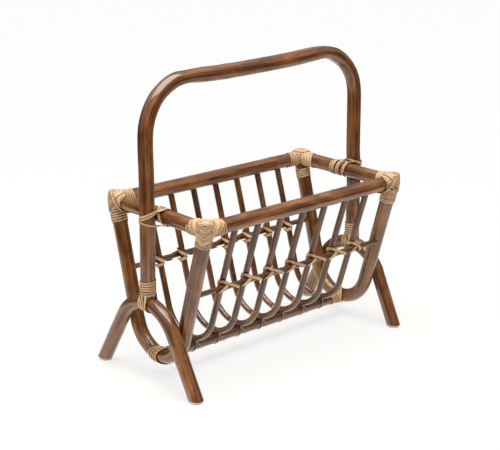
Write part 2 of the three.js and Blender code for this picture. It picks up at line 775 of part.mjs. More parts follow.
// Handle and end rail: two slanting loops round the handle's leg and the rail, then turns on the
// rail. The left loops pass below the rail behind the leg, the right ones above it.
function handleRailRoute(end) {
  const beside = xyz(0, end, 0);
  const outward = xyz(end, 0, 0);
  const rise = xyz(0, 0, end);
  const leg = straightSpool(xyz(end * legX, 0, RIM_HEIGHT), rise, beside, outward, handleR);
  const rail = straightSpool(xyz(end * endX, 0, RIM_HEIGHT), beside, outward, rise, railR);
  const start = handleR + SEAT_GAP + 2 * PEEL_THICKNESS + PITCH / 2;
  const low = PITCH / 2 - railR;
  const more = (end < 0 ? LEFT_RAIL_TURNS : RIGHT_RAIL_TURNS) + RAIL_TURNS_SHARE;
  const [first, under, rising, crossing, over, below] = HANDLE_RAIL_SHARES;
  const [from, to, back] = HANDLE_LEG_SHARES;
  const route = [stop(rail, first, start), stop(rail, under, start)];
  for (let loop = 0; loop < HANDLE_LOOPS; loop += 1) {
    const shift = loop * SLANT_PITCH;
    const top = start + loop * (SLANT_PITCH + PEEL_WIDTH);
    const last = loop === HANDLE_LOOPS - 1;
    route.push(stop(rail, rising, start + shift), ...turns(leg, from, to, low + shift, railR + shift));
    const turned = stop(leg, back, railR + shift, 1);
    turned.out.add(rise).normalize();
    route.push(turned, stop(rail, crossing, top - 2 * PEEL_WIDTH));
    if (last) {
      route.push(...turns(rail, over, over + more, top, top + more * PITCH));
    } else {
      route.push(...turns(rail, over, below, top, start + shift + SLANT_PITCH));
    }
  }
  return route;
}

// Handle foot: turns down the leg, a slant to the arch's outer face, and turns on its back slope
function footRoute(end) {
  const outward = xyz(end, 0, 0);
  const leg = straightSpool(xyz(end * legX, 0, 0), UP, outward, xyz(0, 1, 0), handleR);
  const arch = bowSpool(archBow(end), end * legX, outward, archR);
  const step = (PITCH * ARCH_TOP_RADIUS) / (ARCH_TOP_RADIUS - arch.reach);
  const low = ARCH_TOP_HEIGHT + archR + SEAT_GAP + PEEL_WIDTH;
  const y = handleR + SEAT_GAP + PEEL_THICKNESS + PEEL_WIDTH;
  return [
    ...turns(leg, -0.25 - FOOT_TURNS, 0, low + (FOOT_TURNS + 0.25) * PITCH, low),
    ...turns(arch, 0, -FOOT_LOOPS, y, y + FOOT_LOOPS * step),
  ];
}

// Keel end: slanting loops round the end hoop's bottom and the keel
function keelEndRoute(end) {
  const outward = xyz(end, 0, 0);
  const keel = straightSpool(xyz(end * endX, 0, KEEL_HEIGHT), xyz(-end, 0, 0), xyz(0, 1, 0), UP, keelR);
  const hoop = bowSpool(hoopBow, end * endX, outward, hoopR, HOOP_TURN_STEPS);
  const step = (SLANT_PITCH * HOOP_BOTTOM_RADIUS) / (HOOP_BOTTOM_RADIUS - hoop.reach);
  const firstY = keelR + PEEL_WIDTH;
  const firstX = hoopR + SEAT_GAP + PEEL_THICKNESS + PEEL_SPACE + PEEL_WIDTH / 2;
  const route = [stop(hoop, 0, firstY - step / 4)];
  const [arrive, from, to, leave] = KEEL_END_SHARES;
  for (let loop = 0; loop < KEEL_END_LOOPS; loop += 1) {
    const y = firstY + loop * step;
    const x = firstX + loop * SLANT_PITCH;
    route.push(stop(hoop, -1 / 8, y), stop(hoop, -1 / 4, y - step / 2));
    route.push(stop(keel, arrive, x - PEEL_WIDTH / 2), ...turns(keel, from, to, x, x));
    route.push(stop(keel, leave, x - PEEL_WIDTH / 2));
    route.push(stop(hoop, 1 / 4, y - step / 2), stop(hoop, 1 / 8, y), stop(hoop, 0, y + step / 2));
  }
  return route;
}

// Keel: at each rib two strips cross over the rib and slant down the keel's front to its bottom
function keelRoute() {
  const side = xyz(1, 0, 0);
  const keel = straightSpool(xyz(0, 0, KEEL_HEIGHT), side, xyz(0, 1, 0), UP, keelR, COARSE_TURN_STEPS);
  const near = ribR + PEEL_WIDTH;
  const [frontLow, frontHigh, backHigh, backLow] = KEEL_SIDE_SHARES;
  const [wide, close] = KEEL_RIB_SHARES;
  const [lift, highLift] = KEEL_PASS_SHARES;
  const bottom = -1 / 4;
  const route = [];
  for (let index = 0; index < RIB_COUNT; index += 1) {
    const x = ribX(index);
    const rib = bowSpool(ribBow, x, side, ribR, COARSE_TURN_STEPS);
    route.push(stop(keel, bottom, x - near - PITCH));
    for (const way of [-1, 1]) {
      const start = x + way * near;
      route.push(stop(keel, frontLow, start + (way * PITCH) / 2), stop(keel, frontHigh, start));
      const layer = way > 0 ? KEEL_CROSS_SHARE : 0;
      route.push(
        stop(rib, bottom + way * wide, -ribR),
        stop(rib, bottom + way * close, -ribR / 3, layer),
        stop(rib, bottom - way * close, ribR / 3, layer),
        stop(rib, bottom - way * wide, ribR),
      );
      const finish = x - way * near;
      route.push(stop(keel, backHigh, finish), stop(keel, backLow, finish - (way * PITCH) / 2));
      if (way < 0) {
        route.push(stop(keel, bottom, x + near + PITCH));
      } else if (index < RIB_COUNT - 1) {
        route.push(stop(keel, -KEEL_PASS_TURN_SHARE, x - PITCH, lift));
        route.push(stop(keel, bottom, x + near + PITCH, highLift));
      }
    }
  }
  return route;
}

// Stringer: at each rib one strip passes behind the rib, two cross over the stringer, and the
// second of them slants on to the next rib
function stringerSpool(side) {
  const centre = xyz(0, side * stringerY(), STRINGER_HEIGHT);
  return straightSpool(centre, xyz(1, 0, 0), xyz(0, side, 0), UP, stringerR, COARSE_TURN_STEPS);
}

// A plain strip along the stringer's outer face, in place of the wound one
function addPlainStringerLashing(name, side) {
  const face = { ...stringerSpool(side), reach: stringerR + SEAT_GAP + PEEL_THICKNESS / 2 };
  const half = ribX(RIB_COUNT - 1) + ribR + PEEL_WIDTH;
  add(name, peel(sections([stop(face, 0, -half), stop(face, 0, half)], NARROW_PEEL_WIDTH)), PEEL);
}

function stringerRoute(side) {
  const right = xyz(1, 0, 0);
  const stringer = stringerSpool(side);
  const along = legDirection(ribBow);
  const ribIn = xyz(0, -side * along.y, along.x);
  const near = ribR + NARROW_PEEL_WIDTH / 2;
  const far = near + NARROW_PEEL_WIDTH + PEEL_SPACE;
  const [arrive, start] = STRINGER_START_SHARES;
  const [lowSide, highSide, sixth, back, below, under, front, onward] = STRINGER_TURN_SHARES;
  const route = [];
  for (let index = 0; index < RIB_COUNT; index += 1) {
    const x = ribX(index);
    const foot = xyz(x, side * bowHalfWidth(ribBow, STRINGER_HEIGHT), STRINGER_HEIGHT);
    const rib = straightSpool(foot, legAlong(ribBow, side), right, ribIn, ribR, COARSE_TURN_STEPS);
    if (index > 0) {
      route.push(stop(stringer, -lowSide, x - near - PEEL_SPACE, arrive));
    }
    route.push(stop(stringer, -highSide, x - near, start));
    RIB_BACK_SHARES.forEach((turn, place) => {
      const share = RIB_BACK_HEIGHT_SHARES[place];
      route.push(stop(rib, turn, ribR * share));
    });
    route.push(
      stop(stringer, highSide, x + near),
      stop(stringer, lowSide, x + ribR),
      stop(stringer, 0, x),
      stop(stringer, -lowSide, x - ribR),
      stop(stringer, -sixth, x - far),
      stop(stringer, -back, x - far - PEEL_SPACE),
      stop(stringer, -below, x - far),
      stop(stringer, -under, x - ribR, STRINGER_CROSS_SHARE),
      stop(stringer, -front, x + PEEL_SPACE, STRINGER_CROSS_SHARE),
      stop(stringer, -onward, x + far, STRINGER_LEAVE_SHARE),
    );
  }
  return route;
}

for (const side of [-1, 1]) {
  addLongRail(side);
}
for (const end of [-1, 1]) {
  addEndRail(end);
  addHoop(end);
  addArch(end);
  for (const side of [-1, 1]) {
    addGlide(end, side);
  }
}
addHandle();
addRibs();
addKeel();
addStringers();
for (const line of PINS) {
  add(line.name, pin(line), STEEL);
}
for (const end of [-1, 1]) {
  for (const side of [-1, 1]) {
    addLashing(`${endName(end)}_${sideName(side)}_corner_lashing`, cornerRoute(end, side));
  }
  addLashing(`${endName(end)}_handle_rail_lashing`, handleRailRoute(end));
  addLashing(`${endName(end)}_handle_foot_lashing`, footRoute(end));
  addLashing(`${endName(end)}_keel_end_lashing`, keelEndRoute(end));
}
addLashing('keel_lashing', keelRoute());
addPlainStringerLashing('front_stringer_lashing', -1);
addLashing('back_stringer_lashing', stringerRoute(1), NARROW_PEEL_WIDTH);

export default rack;
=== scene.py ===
# Rattan magazine rack at its real size, in metres. The front long rail is at -Y, the handle runs
# along X and the floor is Z = 0. Bent canes under dark lacquer are tied with strips of pale peel.
import itertools
import math
import bmesh
import bpy
import numpy as np
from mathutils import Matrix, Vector, geometry, noise


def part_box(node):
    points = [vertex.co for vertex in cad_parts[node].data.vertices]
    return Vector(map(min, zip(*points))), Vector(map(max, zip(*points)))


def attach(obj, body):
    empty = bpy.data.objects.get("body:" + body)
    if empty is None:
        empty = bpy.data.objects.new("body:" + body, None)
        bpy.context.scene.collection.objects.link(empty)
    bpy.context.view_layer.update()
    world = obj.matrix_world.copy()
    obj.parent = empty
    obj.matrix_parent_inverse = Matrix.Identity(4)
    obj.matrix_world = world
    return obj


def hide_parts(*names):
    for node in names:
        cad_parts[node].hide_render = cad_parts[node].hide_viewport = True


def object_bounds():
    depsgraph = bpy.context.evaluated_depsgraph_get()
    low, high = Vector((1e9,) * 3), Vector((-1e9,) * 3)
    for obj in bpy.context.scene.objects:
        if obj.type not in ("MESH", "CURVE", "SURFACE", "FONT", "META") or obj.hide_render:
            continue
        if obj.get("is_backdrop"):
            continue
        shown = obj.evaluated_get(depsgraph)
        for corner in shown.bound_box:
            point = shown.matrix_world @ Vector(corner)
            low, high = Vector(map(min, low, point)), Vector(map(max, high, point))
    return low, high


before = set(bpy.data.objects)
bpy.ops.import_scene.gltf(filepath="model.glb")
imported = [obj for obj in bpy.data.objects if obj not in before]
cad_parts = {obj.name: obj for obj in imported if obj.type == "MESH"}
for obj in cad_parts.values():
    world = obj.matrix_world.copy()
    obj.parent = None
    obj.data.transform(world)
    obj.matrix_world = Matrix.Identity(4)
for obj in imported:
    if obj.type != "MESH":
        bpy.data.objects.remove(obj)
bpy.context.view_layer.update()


# Front and back rails: the two long canes of the rim. Each is a straight length of thick rattan,
# sanded, stained a dark red brown and lacquered, with the plant's joints left as faint rings.
RIM_HEIGHT = 0.2595
RIM_HALF_LENGTH = 0.2015
RIM_HALF_WIDTH = 0.104
RAIL_RADIUS = 0.0115
CANE_SIDES = 32
RING_SPACING = 0.003


def colour(red, green, blue):
    """A colour read off as 0 to 255, turned into the linear values that sockets take."""
    shares = [value / 255 for value in (red, green, blue)]
    return [s / 12.92 if s < 0.04045 else ((s + 0.055) / 1.055) ** 2.4 for s in shares] + [1]


class Value:
    """A socket in a sum: each operator adds a Math node to the finish that the socket is in."""

    def __init__(self, finish, socket):
        self.finish = finish
        self.socket = socket

    def math(self, operation, *terms):
        return self.finish.node("ShaderNodeMath", {"operation": operation}, dict(enumerate(terms)))

    def __add__(self, other):
        return self.math("ADD", self, other)

    def __sub__(self, other):
        return self.math("SUBTRACT", self, other)

    def __mul__(self, other):
        return self.math("MULTIPLY", self, other)

    def __radd__(self, other):
        return self.math("ADD", other, self)

    def __rsub__(self, other):
        return self.math("SUBTRACT", other, self)

    def __rmul__(self, other):
        return self.math("MULTIPLY", other, self)

    def __abs__(self):
        return self.math("ABSOLUTE", self)

    def or_larger(self, other):
        return self.math("MAXIMUM", self, other)

    def between(self, low, high):
        """0 where the value is at low, 1 where it is at high, held outside."""
        return self.finish.node(
            "ShaderNodeMapRange",
            {"interpolation_type": "SMOOTHSTEP"},
            {"Value": self, "From Min": low, "From Max": high},
        )


class Finish:
    """A material whose shader's plain sockets are set by name, and whose nodes come from node()."""

    def __init__(self, name, **plain):
        self.material = bpy.data.materials.new(name)
        self.material.use_nodes = True
        self.tree = self.material.node_tree
        self.shader = self.tree.nodes["Principled BSDF"]
        for socket, value in plain.items():
            self.shader.inputs[socket.replace("_", " ").title().replace("Ior", "IOR")].default_value = value

    def node(self, kind, settings, inputs, output=0):
        made = self.tree.nodes.new(kind)
        for setting, value in settings.items():
            setattr(made, setting, value)
        for key, value in inputs.items():
            self.give(made.inputs[key], value)
        return Value(self, made.outputs[output]) if made.outputs else None

    def give(self, socket, value):
        if isinstance(value, Value):
            self.tree.links.new(value.socket, socket)
        else:
            socket.default_value = value

    def attribute(self, name, output):
        return self.node("ShaderNodeAttribute", {"attribute_name": name}, {}, output)

    def stretched(self, place, stretch, scale, detail=3, roughness=0.55):
        """Noise on a place that is stretched by three factors first."""
        vector = self.node("ShaderNodeVectorMath", {"operation": "MULTIPLY"}, {0: place, 1: stretch})
        sockets = {"Vector": vector, "Scale": scale, "Detail": detail, "Roughness": roughness}
        return self.node("ShaderNodeTexNoise", {}, sockets)

    def blend(self, share, first, second):
        """A colour between two others. A Mix node's colours are its sockets 6 and 7, and its output 2."""
        return self.node("ShaderNodeMix", {"data_type": "RGBA"}, {0: share, 6: first, 7: second}, 2)

    def bump(self, height, depth):
        return self.node("ShaderNodeBump", {}, {"Height": height, "Distance": depth, "Strength": 1.0})


def lacquered_cane():
    """Dark lacquer over rattan: long fibre streaks, cloudy stain, pale scuffs, dark joint rings."""
    finish = Finish(
        "lacquered_cane", specular_ior_level=0.15, coat_weight=1.0, coat_roughness=0.11, coat_ior=1.75
    )
    place = finish.attribute("straight_place", 1)
    ring = finish.attribute("joint_distance", 2)
    streaks = finish.stretched(place, (6, 260, 260), 1)
    fibres = finish.stretched(place, (26, 1500, 1500), 1, 4)
    clouds = finish.stretched(place, (18, 60, 60), 1, 3)
    scuffs = finish.stretched(place, (90, 260, 260), 1, 5, 0.7)
    wood = finish.blend(streaks.between(0.34, 0.66), colour(84, 39, 9), colour(144, 87, 35))
    wood = finish.blend(clouds.between(0.46, 0.72) * 0.65, wood, colour(176, 120, 60))
    wood = finish.blend(clouds.between(0.5, 0.27) * 0.75, wood, colour(66, 26, 5))
    # Each cane's stain depth darkens it to a grey brown: real stain on the ribs and stringers, painted shade
    # on the keel.
    wood = finish.blend(finish.attribute("stain_depth", 2), wood, colour(50, 27, 15))
    wood = finish.blend(fibres.between(0.5, 0.85) * 0.35, wood, colour(52, 25, 10))
    wood = finish.blend(scuffs.between(0.66, 0.8) * 0.4, wood, colour(172, 126, 84))
    line = 1 - abs(ring).between(0.0002, 0.001)
    stain = 1 - abs(ring - 0.0035).between(0.0008, 0.006)
    wood = finish.blend(stain * 0.15, wood, colour(150, 100, 60))
    wood = finish.blend(line * 0.35, wood, colour(48, 22, 9))
    finish.give(finish.shader.inputs["Base Color"], wood)
    finish.give(finish.shader.inputs["Roughness"], 0.28 + 0.14 * streaks + 0.1 * scuffs.between(0.6, 0.8))
    height = streaks * 0.5 + fibres * 0.2 - line * 0.5
    finish.give(finish.shader.inputs["Normal"], finish.bump(height, 0.0002))
    return finish.material


CANE = lacquered_cane()


def deselect():
    bpy.ops.object.select_all(action="DESELECT")


def select_edges(shape, wanted):
    for edge in shape.edges:
        edge.select_set(wanted(edge))
    shape.select_flush(False)


def straight_cane(name, length, radius, sides=CANE_SIDES):
    """A cane along +X from the origin, with rounded rims at its ends and a ring every few mm."""
    deselect()
    bpy.ops.mesh.primitive_cylinder_add(
        vertices=sides, radius=radius, depth=length,
        location=(length / 2, 0, 0), rotation=(0, math.pi / 2, 0),
    )
    cane = bpy.context.object
    cane.name = name
    bpy.ops.object.transform_apply(location=True, rotation=True, scale=True)
    bpy.ops.object.mode_set(mode="EDIT")
    bpy.ops.mesh.select_all(action="DESELECT")
    bpy.ops.mesh.select_mode(type="EDGE")
    shape = bmesh.from_edit_mesh(cane.data)
    select_edges(shape, lambda edge: abs(edge.verts[0].co.x - edge.verts[1].co.x) < length / 2)
    bpy.ops.mesh.bevel(offset=radius * 0.16, segments=3, affect="EDGES")
    for cuts in (math.ceil(length / RING_SPACING / 4), 3):
        shape = bmesh.from_edit_mesh(cane.data)
        shortest = RING_SPACING * 0.6
        select_edges(shape, lambda edge: abs(edge.verts[0].co.x - edge.verts[1].co.x) > shortest)
        bpy.ops.mesh.subdivide(number_cuts=cuts)
    bpy.ops.object.mode_set(mode="OBJECT")
    return cane


def grow(cane, joints, seed, roughness=0.012, swell=0.03):
    """Gives a straight cane its uneven girth and swollen joints, and notes each place for the finish."""
    mesh = cane.data
    count = len(mesh.vertices)
    places = np.zeros(count * 3)
    mesh.vertices.foreach_get("co", places)
    places = places.reshape(-1, 3)
    along = places[:, 0]
    nearest = np.full(count, 1.0)
    for joint in joints:
        gap = along - joint
        nearest = np.where(np.abs(gap) < np.abs(nearest), gap, nearest)
    stretch = np.array([noise.noise(Vector((x * 9, seed * 3.7, 0))) for x in along])
    girth = 1 + roughness * stretch + swell * np.exp(-((nearest / 0.006) ** 2))
    marks = mesh.attributes.new("straight_place", "FLOAT_VECTOR", "POINT")
    marks.data.foreach_set("vector", (places + np.array([seed * 0.83, 0, 0])).ravel())
    rings = mesh.attributes.new("joint_distance", "FLOAT", "POINT")
    rings.data.foreach_set("value", nearest)
    places[:, 1:] *= girth[:, None]
    mesh.vertices.foreach_set("co", places.ravel())
    mesh.update()


def measured(route):
    """How far along a route each of its points lies."""
    steps = [0]
    for first, second in zip(route, route[1:]):
        steps.append(steps[-1] + (second - first).length)
    return steps


def bend(cane, route):
    """Lays the straight cane along a route, as over a former, and leaves its place in its mesh."""
    line = bpy.data.curves.new(cane.name + "_former", "CURVE")
    line.dimensions = "3D"
    line.twist_mode = "MINIMUM"
    spline = line.splines.new("POLY")
    spline.points.add(len(route) - 1)
    for point, place in zip(spline.points, route):
        point.co = (*place, 1)
    former = bpy.data.objects.new(line.name, line)
    bpy.context.collection.objects.link(former)
    follow = cane.modifiers.new("follow", "CURVE")
    follow.object = former
    follow.deform_axis = "POS_X"
    deselect()
    cane.select_set(True)
    bpy.context.view_layer.objects.active = cane
    bpy.ops.object.modifier_apply(modifier=follow.name)
    bpy.data.objects.remove(former)
    bpy.data.curves.remove(line)


def finish_cane(cane, *nodes):
    deselect()
    cane.select_set(True)
    bpy.context.view_layer.objects.active = cane
    bpy.ops.object.shade_smooth_by_angle(angle=math.radians(50))
    cane.data.materials.clear()
    cane.data.materials.append(CANE)
    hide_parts(*nodes)
    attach(cane, "root")


def make_cane(node, route, radius, joints, seed, sides=CANE_SIDES, stain=0.0):
    cane = straight_cane(node + "_cane", measured(route)[-1], radius, sides)
    # The stain value darkens the whole cane: stain on the ribs and stringers, painted shade on the keel.
    depths = cane.data.attributes.new("stain_depth", "FLOAT", "POINT")
    depths.data.foreach_set("value", np.full(len(cane.data.vertices), stain))
    grow(cane, joints, seed)
    bend(cane, route)
    finish_cane(cane, node)


def even(route, spacing=RING_SPACING):
    """The same route with points at even spacing, smoothed through the given ones."""
    ends = [route[0] * 2 - route[1], *route, route[-1] * 2 - route[-2]]
    fine = []
    for index in range(1, len(ends) - 2):
        before, here, after, beyond = ends[index - 1:index + 3]
        parts = max(2, math.ceil((after - here).length / spacing))
        for part in range(parts):
            t = part / parts
            fine.append(0.5 * (
                2 * here + (after - before) * t
                + (2 * before - 5 * here + 4 * after - beyond) * t ** 2
                + (3 * here - before - 3 * after + beyond) * t ** 3
            ))
    return fine + [route[-1]]


def wavy(first, last, sway, seed):
    """A nearly straight route: real cane keeps a slow sway of a millimetre or so."""
    route = []
    for step in range(9):
        share = step / 8
        aside, rise = (noise.noise(Vector((share * 2, seed, row))) for row in (0, 5))
        along_x = abs(last.x - first.x) >= abs(last.y - first.y)
        drift = Vector((0, aside, rise)) if along_x else Vector((aside, 0, rise))
        route.append(first.lerp(last, share) + drift * sway * math.sin(math.pi * share))
    return even(route)


LONG_RAIL_PAST_CORNER = 0.003
LONG_RAIL_JOINTS = {"front": (0.085, 0.268), "back": (0.15, 0.335)}
for side, y in (("front", -RIM_HALF_WIDTH), ("back", RIM_HALF_WIDTH)):
    reach = RIM_HALF_LENGTH + LONG_RAIL_PAST_CORNER
    first, last = Vector((-reach, y, RIM_HEIGHT)), Vector((reach, y, RIM_HEIGHT))
    route = wavy(first, last, 0.0012, y * 90)
    make_cane(side + "_rail", route, RAIL_RADIUS, LONG_RAIL_JOINTS[side], 1 + y * 4)


# End rails: two short canes between the long rails, at the rim's two ends. Their ends are hollowed
# to sit against the long rails, and a nail and the corner's strips hold each joint.
END_RAIL_SEAT = 0.004
END_RAIL_JOINTS = {"left": (0.055,), "right": (0.125,)}
for end, x in (("left", -RIM_HALF_LENGTH), ("right", RIM_HALF_LENGTH)):
    reach = RIM_HALF_WIDTH - RAIL_RADIUS + END_RAIL_SEAT
    first, last = Vector((x, -reach, RIM_HEIGHT)), Vector((x, reach, RIM_HEIGHT))
    route = wavy(first, last, 0.0006, x * 50)
    make_cane(end + "_end_rail", route, RAIL_RADIUS, END_RAIL_JOINTS[end], 3 + x * 4)


# End hoops: one thick cane at each end, steamed and bent to a U that hangs from the rim's corners
# and carries the keel in its round bottom.
HOOP_BOTTOM_RADIUS = 0.057
HOOP_BOTTOM_HEIGHT = 0.035
HOOP_TOP_DROP = 0.004
BEND_SIDES = 36
LEG_STEPS = 40
BEND_STEPS = 60


def bow(x, corner_y, corner_z, extreme_z, radius, extra=0.0):
    """A U, or upside down an arch, in the plane of an end: two straight legs run into a round bend.
    The extra length goes on past the two corner points."""
    opens = 1 if corner_z > extreme_z else -1
    centre_z = extreme_z + opens * radius
    reach = Vector((corner_y, corner_z - centre_z))
    angle = math.atan2(reach.y, reach.x) - opens * math.acos(radius / reach.length)
    tangent = Vector((radius * math.cos(angle), centre_z + radius * math.sin(angle)))
    along = (Vector((corner_y, corner_z)) - tangent).normalized()
    start = Vector((corner_y, corner_z)) + along * extra
    leg = [start.lerp(tangent, step / LEG_STEPS) for step in range(LEG_STEPS)]
    middle = 1.5 * math.pi if opens > 0 else 0.5 * math.pi
    turn = 2 * (middle - (math.pi - angle))
    route = [Vector((x, -place.x, place.y)) for place in leg]
    for step in range(BEND_STEPS + 1):
        now = math.pi - angle + turn * step / BEND_STEPS
        route.append(Vector((x, radius * math.cos(now), centre_z + radius * math.sin(now))))
    return route + [Vector((x, place.x, place.y)) for place in reversed(leg)]


HOOP_ROUTES = {}
HOOP_JOINTS = {"left": (0.09, 0.33, 0.52), "right": (0.14, 0.41)}
for end, x in (("left", -RIM_HALF_LENGTH), ("right", RIM_HALF_LENGTH)):
    corner = (RIM_HALF_WIDTH, RIM_HEIGHT - HOOP_TOP_DROP)
    HOOP_ROUTES[end] = bow(x, *corner, HOOP_BOTTOM_HEIGHT, HOOP_BOTTOM_RADIUS)
    make_cane(end + "_end_hoop", HOOP_ROUTES[end], RAIL_RADIUS, HOOP_JOINTS[end], 5 + x * 4, BEND_SIDES)


# Leg arches: a shorter cane at each end, bent to an upside-down U outside the hoop, whose two ends
# are the rack's feet. The right one is bent a little closer than the left one.
ARCH_RADIUS = 0.01125
ARCH_TOP_RADIUS = 0.0686
ARCH_TOP_HEIGHT = 0.125
ARCH_SPREADS = {"left": 0.224, "right": 0.208}
LEG_X = 0.2248
GLIDE_HEIGHT = 0.0045
SAWN_OFF = 0.01


def saw_level(cane, height):
    """Saws the cane's two ends off level, and closes the cuts."""
    deselect()
    cane.select_set(True)
    bpy.context.view_layer.objects.active = cane
    bpy.ops.object.mode_set(mode="EDIT")
    bpy.ops.mesh.select_all(action="SELECT")
    bpy.ops.mesh.bisect(plane_co=(0, 0, height), plane_no=(0, 0, 1), clear_inner=True, use_fill=True)
    bpy.ops.object.mode_set(mode="OBJECT")


ARCH_ROUTES = {}
ARCH_JOINTS = {"left": (0.075, 0.295), "right": (0.11, 0.27)}
for end, x in (("left", -LEG_X), ("right", LEG_X)):
    spread = ARCH_SPREADS[end] / 2
    ARCH_ROUTES[end] = bow(x, spread, 0, ARCH_TOP_HEIGHT, ARCH_TOP_RADIUS, extra=SAWN_OFF)
    route = ARCH_ROUTES[end]
    arch = straight_cane(end + "_leg_arch_cane", measured(route)[-1], ARCH_RADIUS, BEND_SIDES)
    grow(arch, ARCH_JOINTS[end], 7 + x * 4)
    bend(arch, route)
    saw_level(arch, GLIDE_HEIGHT)
    finish_cane(arch, end + "_leg_arch")


# Glides: a moulded plastic button under each foot, pale cream, with a rounded lower rim.
def moulded_plastic():
    finish = Finish("cream_plastic", specular_ior_level=0.4)
    place = finish.node("ShaderNodeTexCoord", {}, {}, 3)
    haze = finish.stretched(place, (300, 300, 300), 1, 2)
    grime = finish.stretched(place, (90, 90, 260), 1, 4)
    shade = finish.blend(grime.between(0.5, 0.8) * 0.4, colour(222, 215, 196), colour(168, 152, 124))
    finish.give(finish.shader.inputs["Base Color"], shade)
    finish.give(finish.shader.inputs["Roughness"], 0.42 + 0.2 * haze)
    finish.give(finish.shader.inputs["Normal"], finish.bump(haze, 0.00005))
    return finish.material


PLASTIC = moulded_plastic()
for end in ("left", "right"):
    for side in ("front", "back"):
        low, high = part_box(f"{end}_{side}_glide")
        deselect()
        bpy.ops.mesh.primitive_cylinder_add(
            vertices=48, radius=(high.x - low.x) / 2, depth=high.z - low.z, location=(low + high) / 2
        )
        glide = bpy.context.object
        glide.name = f"{end}_{side}_glide_button"
        bpy.ops.object.transform_apply(location=True, rotation=True, scale=True)
        bpy.ops.object.mode_set(mode="EDIT")
        bpy.ops.mesh.select_all(action="DESELECT")
        bpy.ops.mesh.select_mode(type="EDGE")
        shape = bmesh.from_edit_mesh(glide.data)
        select_edges(shape, lambda edge: all(v.co.z < low.z + 0.001 for v in edge.verts))
        bpy.ops.mesh.bevel(offset=0.0015, segments=4, affect="EDGES")
        bpy.ops.mesh.select_all(action="DESELECT")
        shape = bmesh.from_edit_mesh(glide.data)
        select_edges(shape, lambda edge: all(v.co.z > high.z - 0.0005 for v in edge.verts))
        bpy.ops.mesh.bevel(offset=0.0005, segments=2, affect="EDGES")
        bpy.ops.object.mode_set(mode="OBJECT")
        bpy.ops.object.shade_smooth_by_angle(angle=math.radians(40))
        glide.data.materials.clear()
        glide.data.materials.append(PLASTIC)
        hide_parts(f"{end}_{side}_glide")
        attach(glide, "root")


# Handle: one long cane that stands on both arches, passes outside the rim's ends and bends over to
# a level grip. It was bent by hand: the corners differ, and its grip flattens beside each bend.
HANDLE_RADIUS = 0.0115
HANDLE_MM = (
    (-224.8, 134), (-224.8, 200), (-224.9, 262), (-225.5, 320), (-226.9, 365), (-226.3, 388),
    (-223.9, 402), (-219.3, 415), (-212.9, 427), (-204.2, 438), (-193, 447), (-181, 454),
    (-167.4, 458.8), (-152.8, 460.2), (-139, 460.4), (-90, 459), (-40, 459), (-10, 459.5),
    (30, 460.2), (70, 461.4), (109, 463.7), (138, 464.5), (152.4, 462.6), (166.3, 458),
    (178.6, 451.4), (189.3, 443.6), (198.7, 434.4), (206.5, 424), (212.3, 412.7),
    (215.8, 400.5), (217.6, 388), (218.2, 375), (218.9, 351), (220.4, 290), (223.4, 262),
    (224.8, 200), (224.8, 134),
)
HANDLE_ROUTE = even([Vector((x / 1000, 0, z / 1000)) for x, z in HANDLE_MM])
HANDLE_JOINTS = (0.12, 0.45, 0.69, 0.93)
FLATS = ((-0.147, 0.018), (0.145, 0.02))
FLATS_ABOVE = 0.43
FLAT_SQUEEZE, FLAT_BULGE = 0.15, 0.4
handle = straight_cane("handle_hoop_cane", measured(HANDLE_ROUTE)[-1], HANDLE_RADIUS, BEND_SIDES)
grow(handle, HANDLE_JOINTS, 9.3, 0.016)
bend(handle, HANDLE_ROUTE)
for vertex in handle.data.vertices:
    if vertex.co.z > FLATS_ABOVE:
        axis = min(HANDLE_ROUTE, key=lambda place: (place - vertex.co).length_squared)
        squeeze = sum(FLAT_SQUEEZE * math.exp(-(((axis.x - x) / width) ** 2)) for x, width in FLATS)
        vertex.co.z = axis.z + (vertex.co.z - axis.z) * (1 - squeeze)
        vertex.co.y *= 1 + squeeze * FLAT_BULGE
finish_cane(handle, "handle_hoop")


# Ribs: seven thin canes, each bent to a U and let into holes under the long rails. They make the
# pocket that the magazines stand in.
RIB_RADIUS = 0.0049
RIB_PITCH = 0.0473
RIB_BOTTOM_RADIUS = 0.054
KEEL_RADIUS = 0.0095
KEEL_HEIGHT = 0.0335
SEAT = 0.0003
RIB_BOTTOM = KEEL_HEIGHT + KEEL_RADIUS + SEAT + RIB_RADIUS
RIB_TOP_INSET = 0.0008
RIB_TOP_DROP = 0.006
RIB_SIDES = 20
RIB_STAIN = 0.45
RIB_XS = [(index - 3) * RIB_PITCH for index in range(7)]
RIB_ROUTES = []
for index, x in enumerate(RIB_XS):
    top = (RIM_HALF_WIDTH - RIB_TOP_INSET, RIM_HEIGHT - RIB_TOP_DROP)
    route = bow(x, *top, RIB_BOTTOM, RIB_BOTTOM_RADIUS)
    RIB_ROUTES.append(route)
    joints = (0.06 + 0.037 * (index * 3 % 5), 0.3 + 0.029 * (index * 2 % 5))
    make_cane(f"rib_{index + 1}", route, RIB_RADIUS, joints, 11 + index * 1.7, RIB_SIDES, RIB_STAIN)


# Keel: a straight cane under the ribs, from hoop to hoop, that keeps the pocket's bottom in line.
# Its ends go a little way into the hoops, as if hollowed, and its colour is darkened most of all, as painted
# shade under the ribs.
KEEL_SEAT = 0.003
# The keel's stain depth is painted shade: it darkens the whole keel as if the ribs above shaded it.
KEEL_PAINTED_SHADE = 0.6
reach = RIM_HALF_LENGTH - RAIL_RADIUS + KEEL_SEAT
first, last = Vector((-reach, 0, KEEL_HEIGHT)), Vector((reach, 0, KEEL_HEIGHT))
make_cane("keel_rod", wavy(first, last, 0.0008, 4.2), KEEL_RADIUS, (0.11, 0.29), 23.1, stain=KEEL_PAINTED_SHADE)


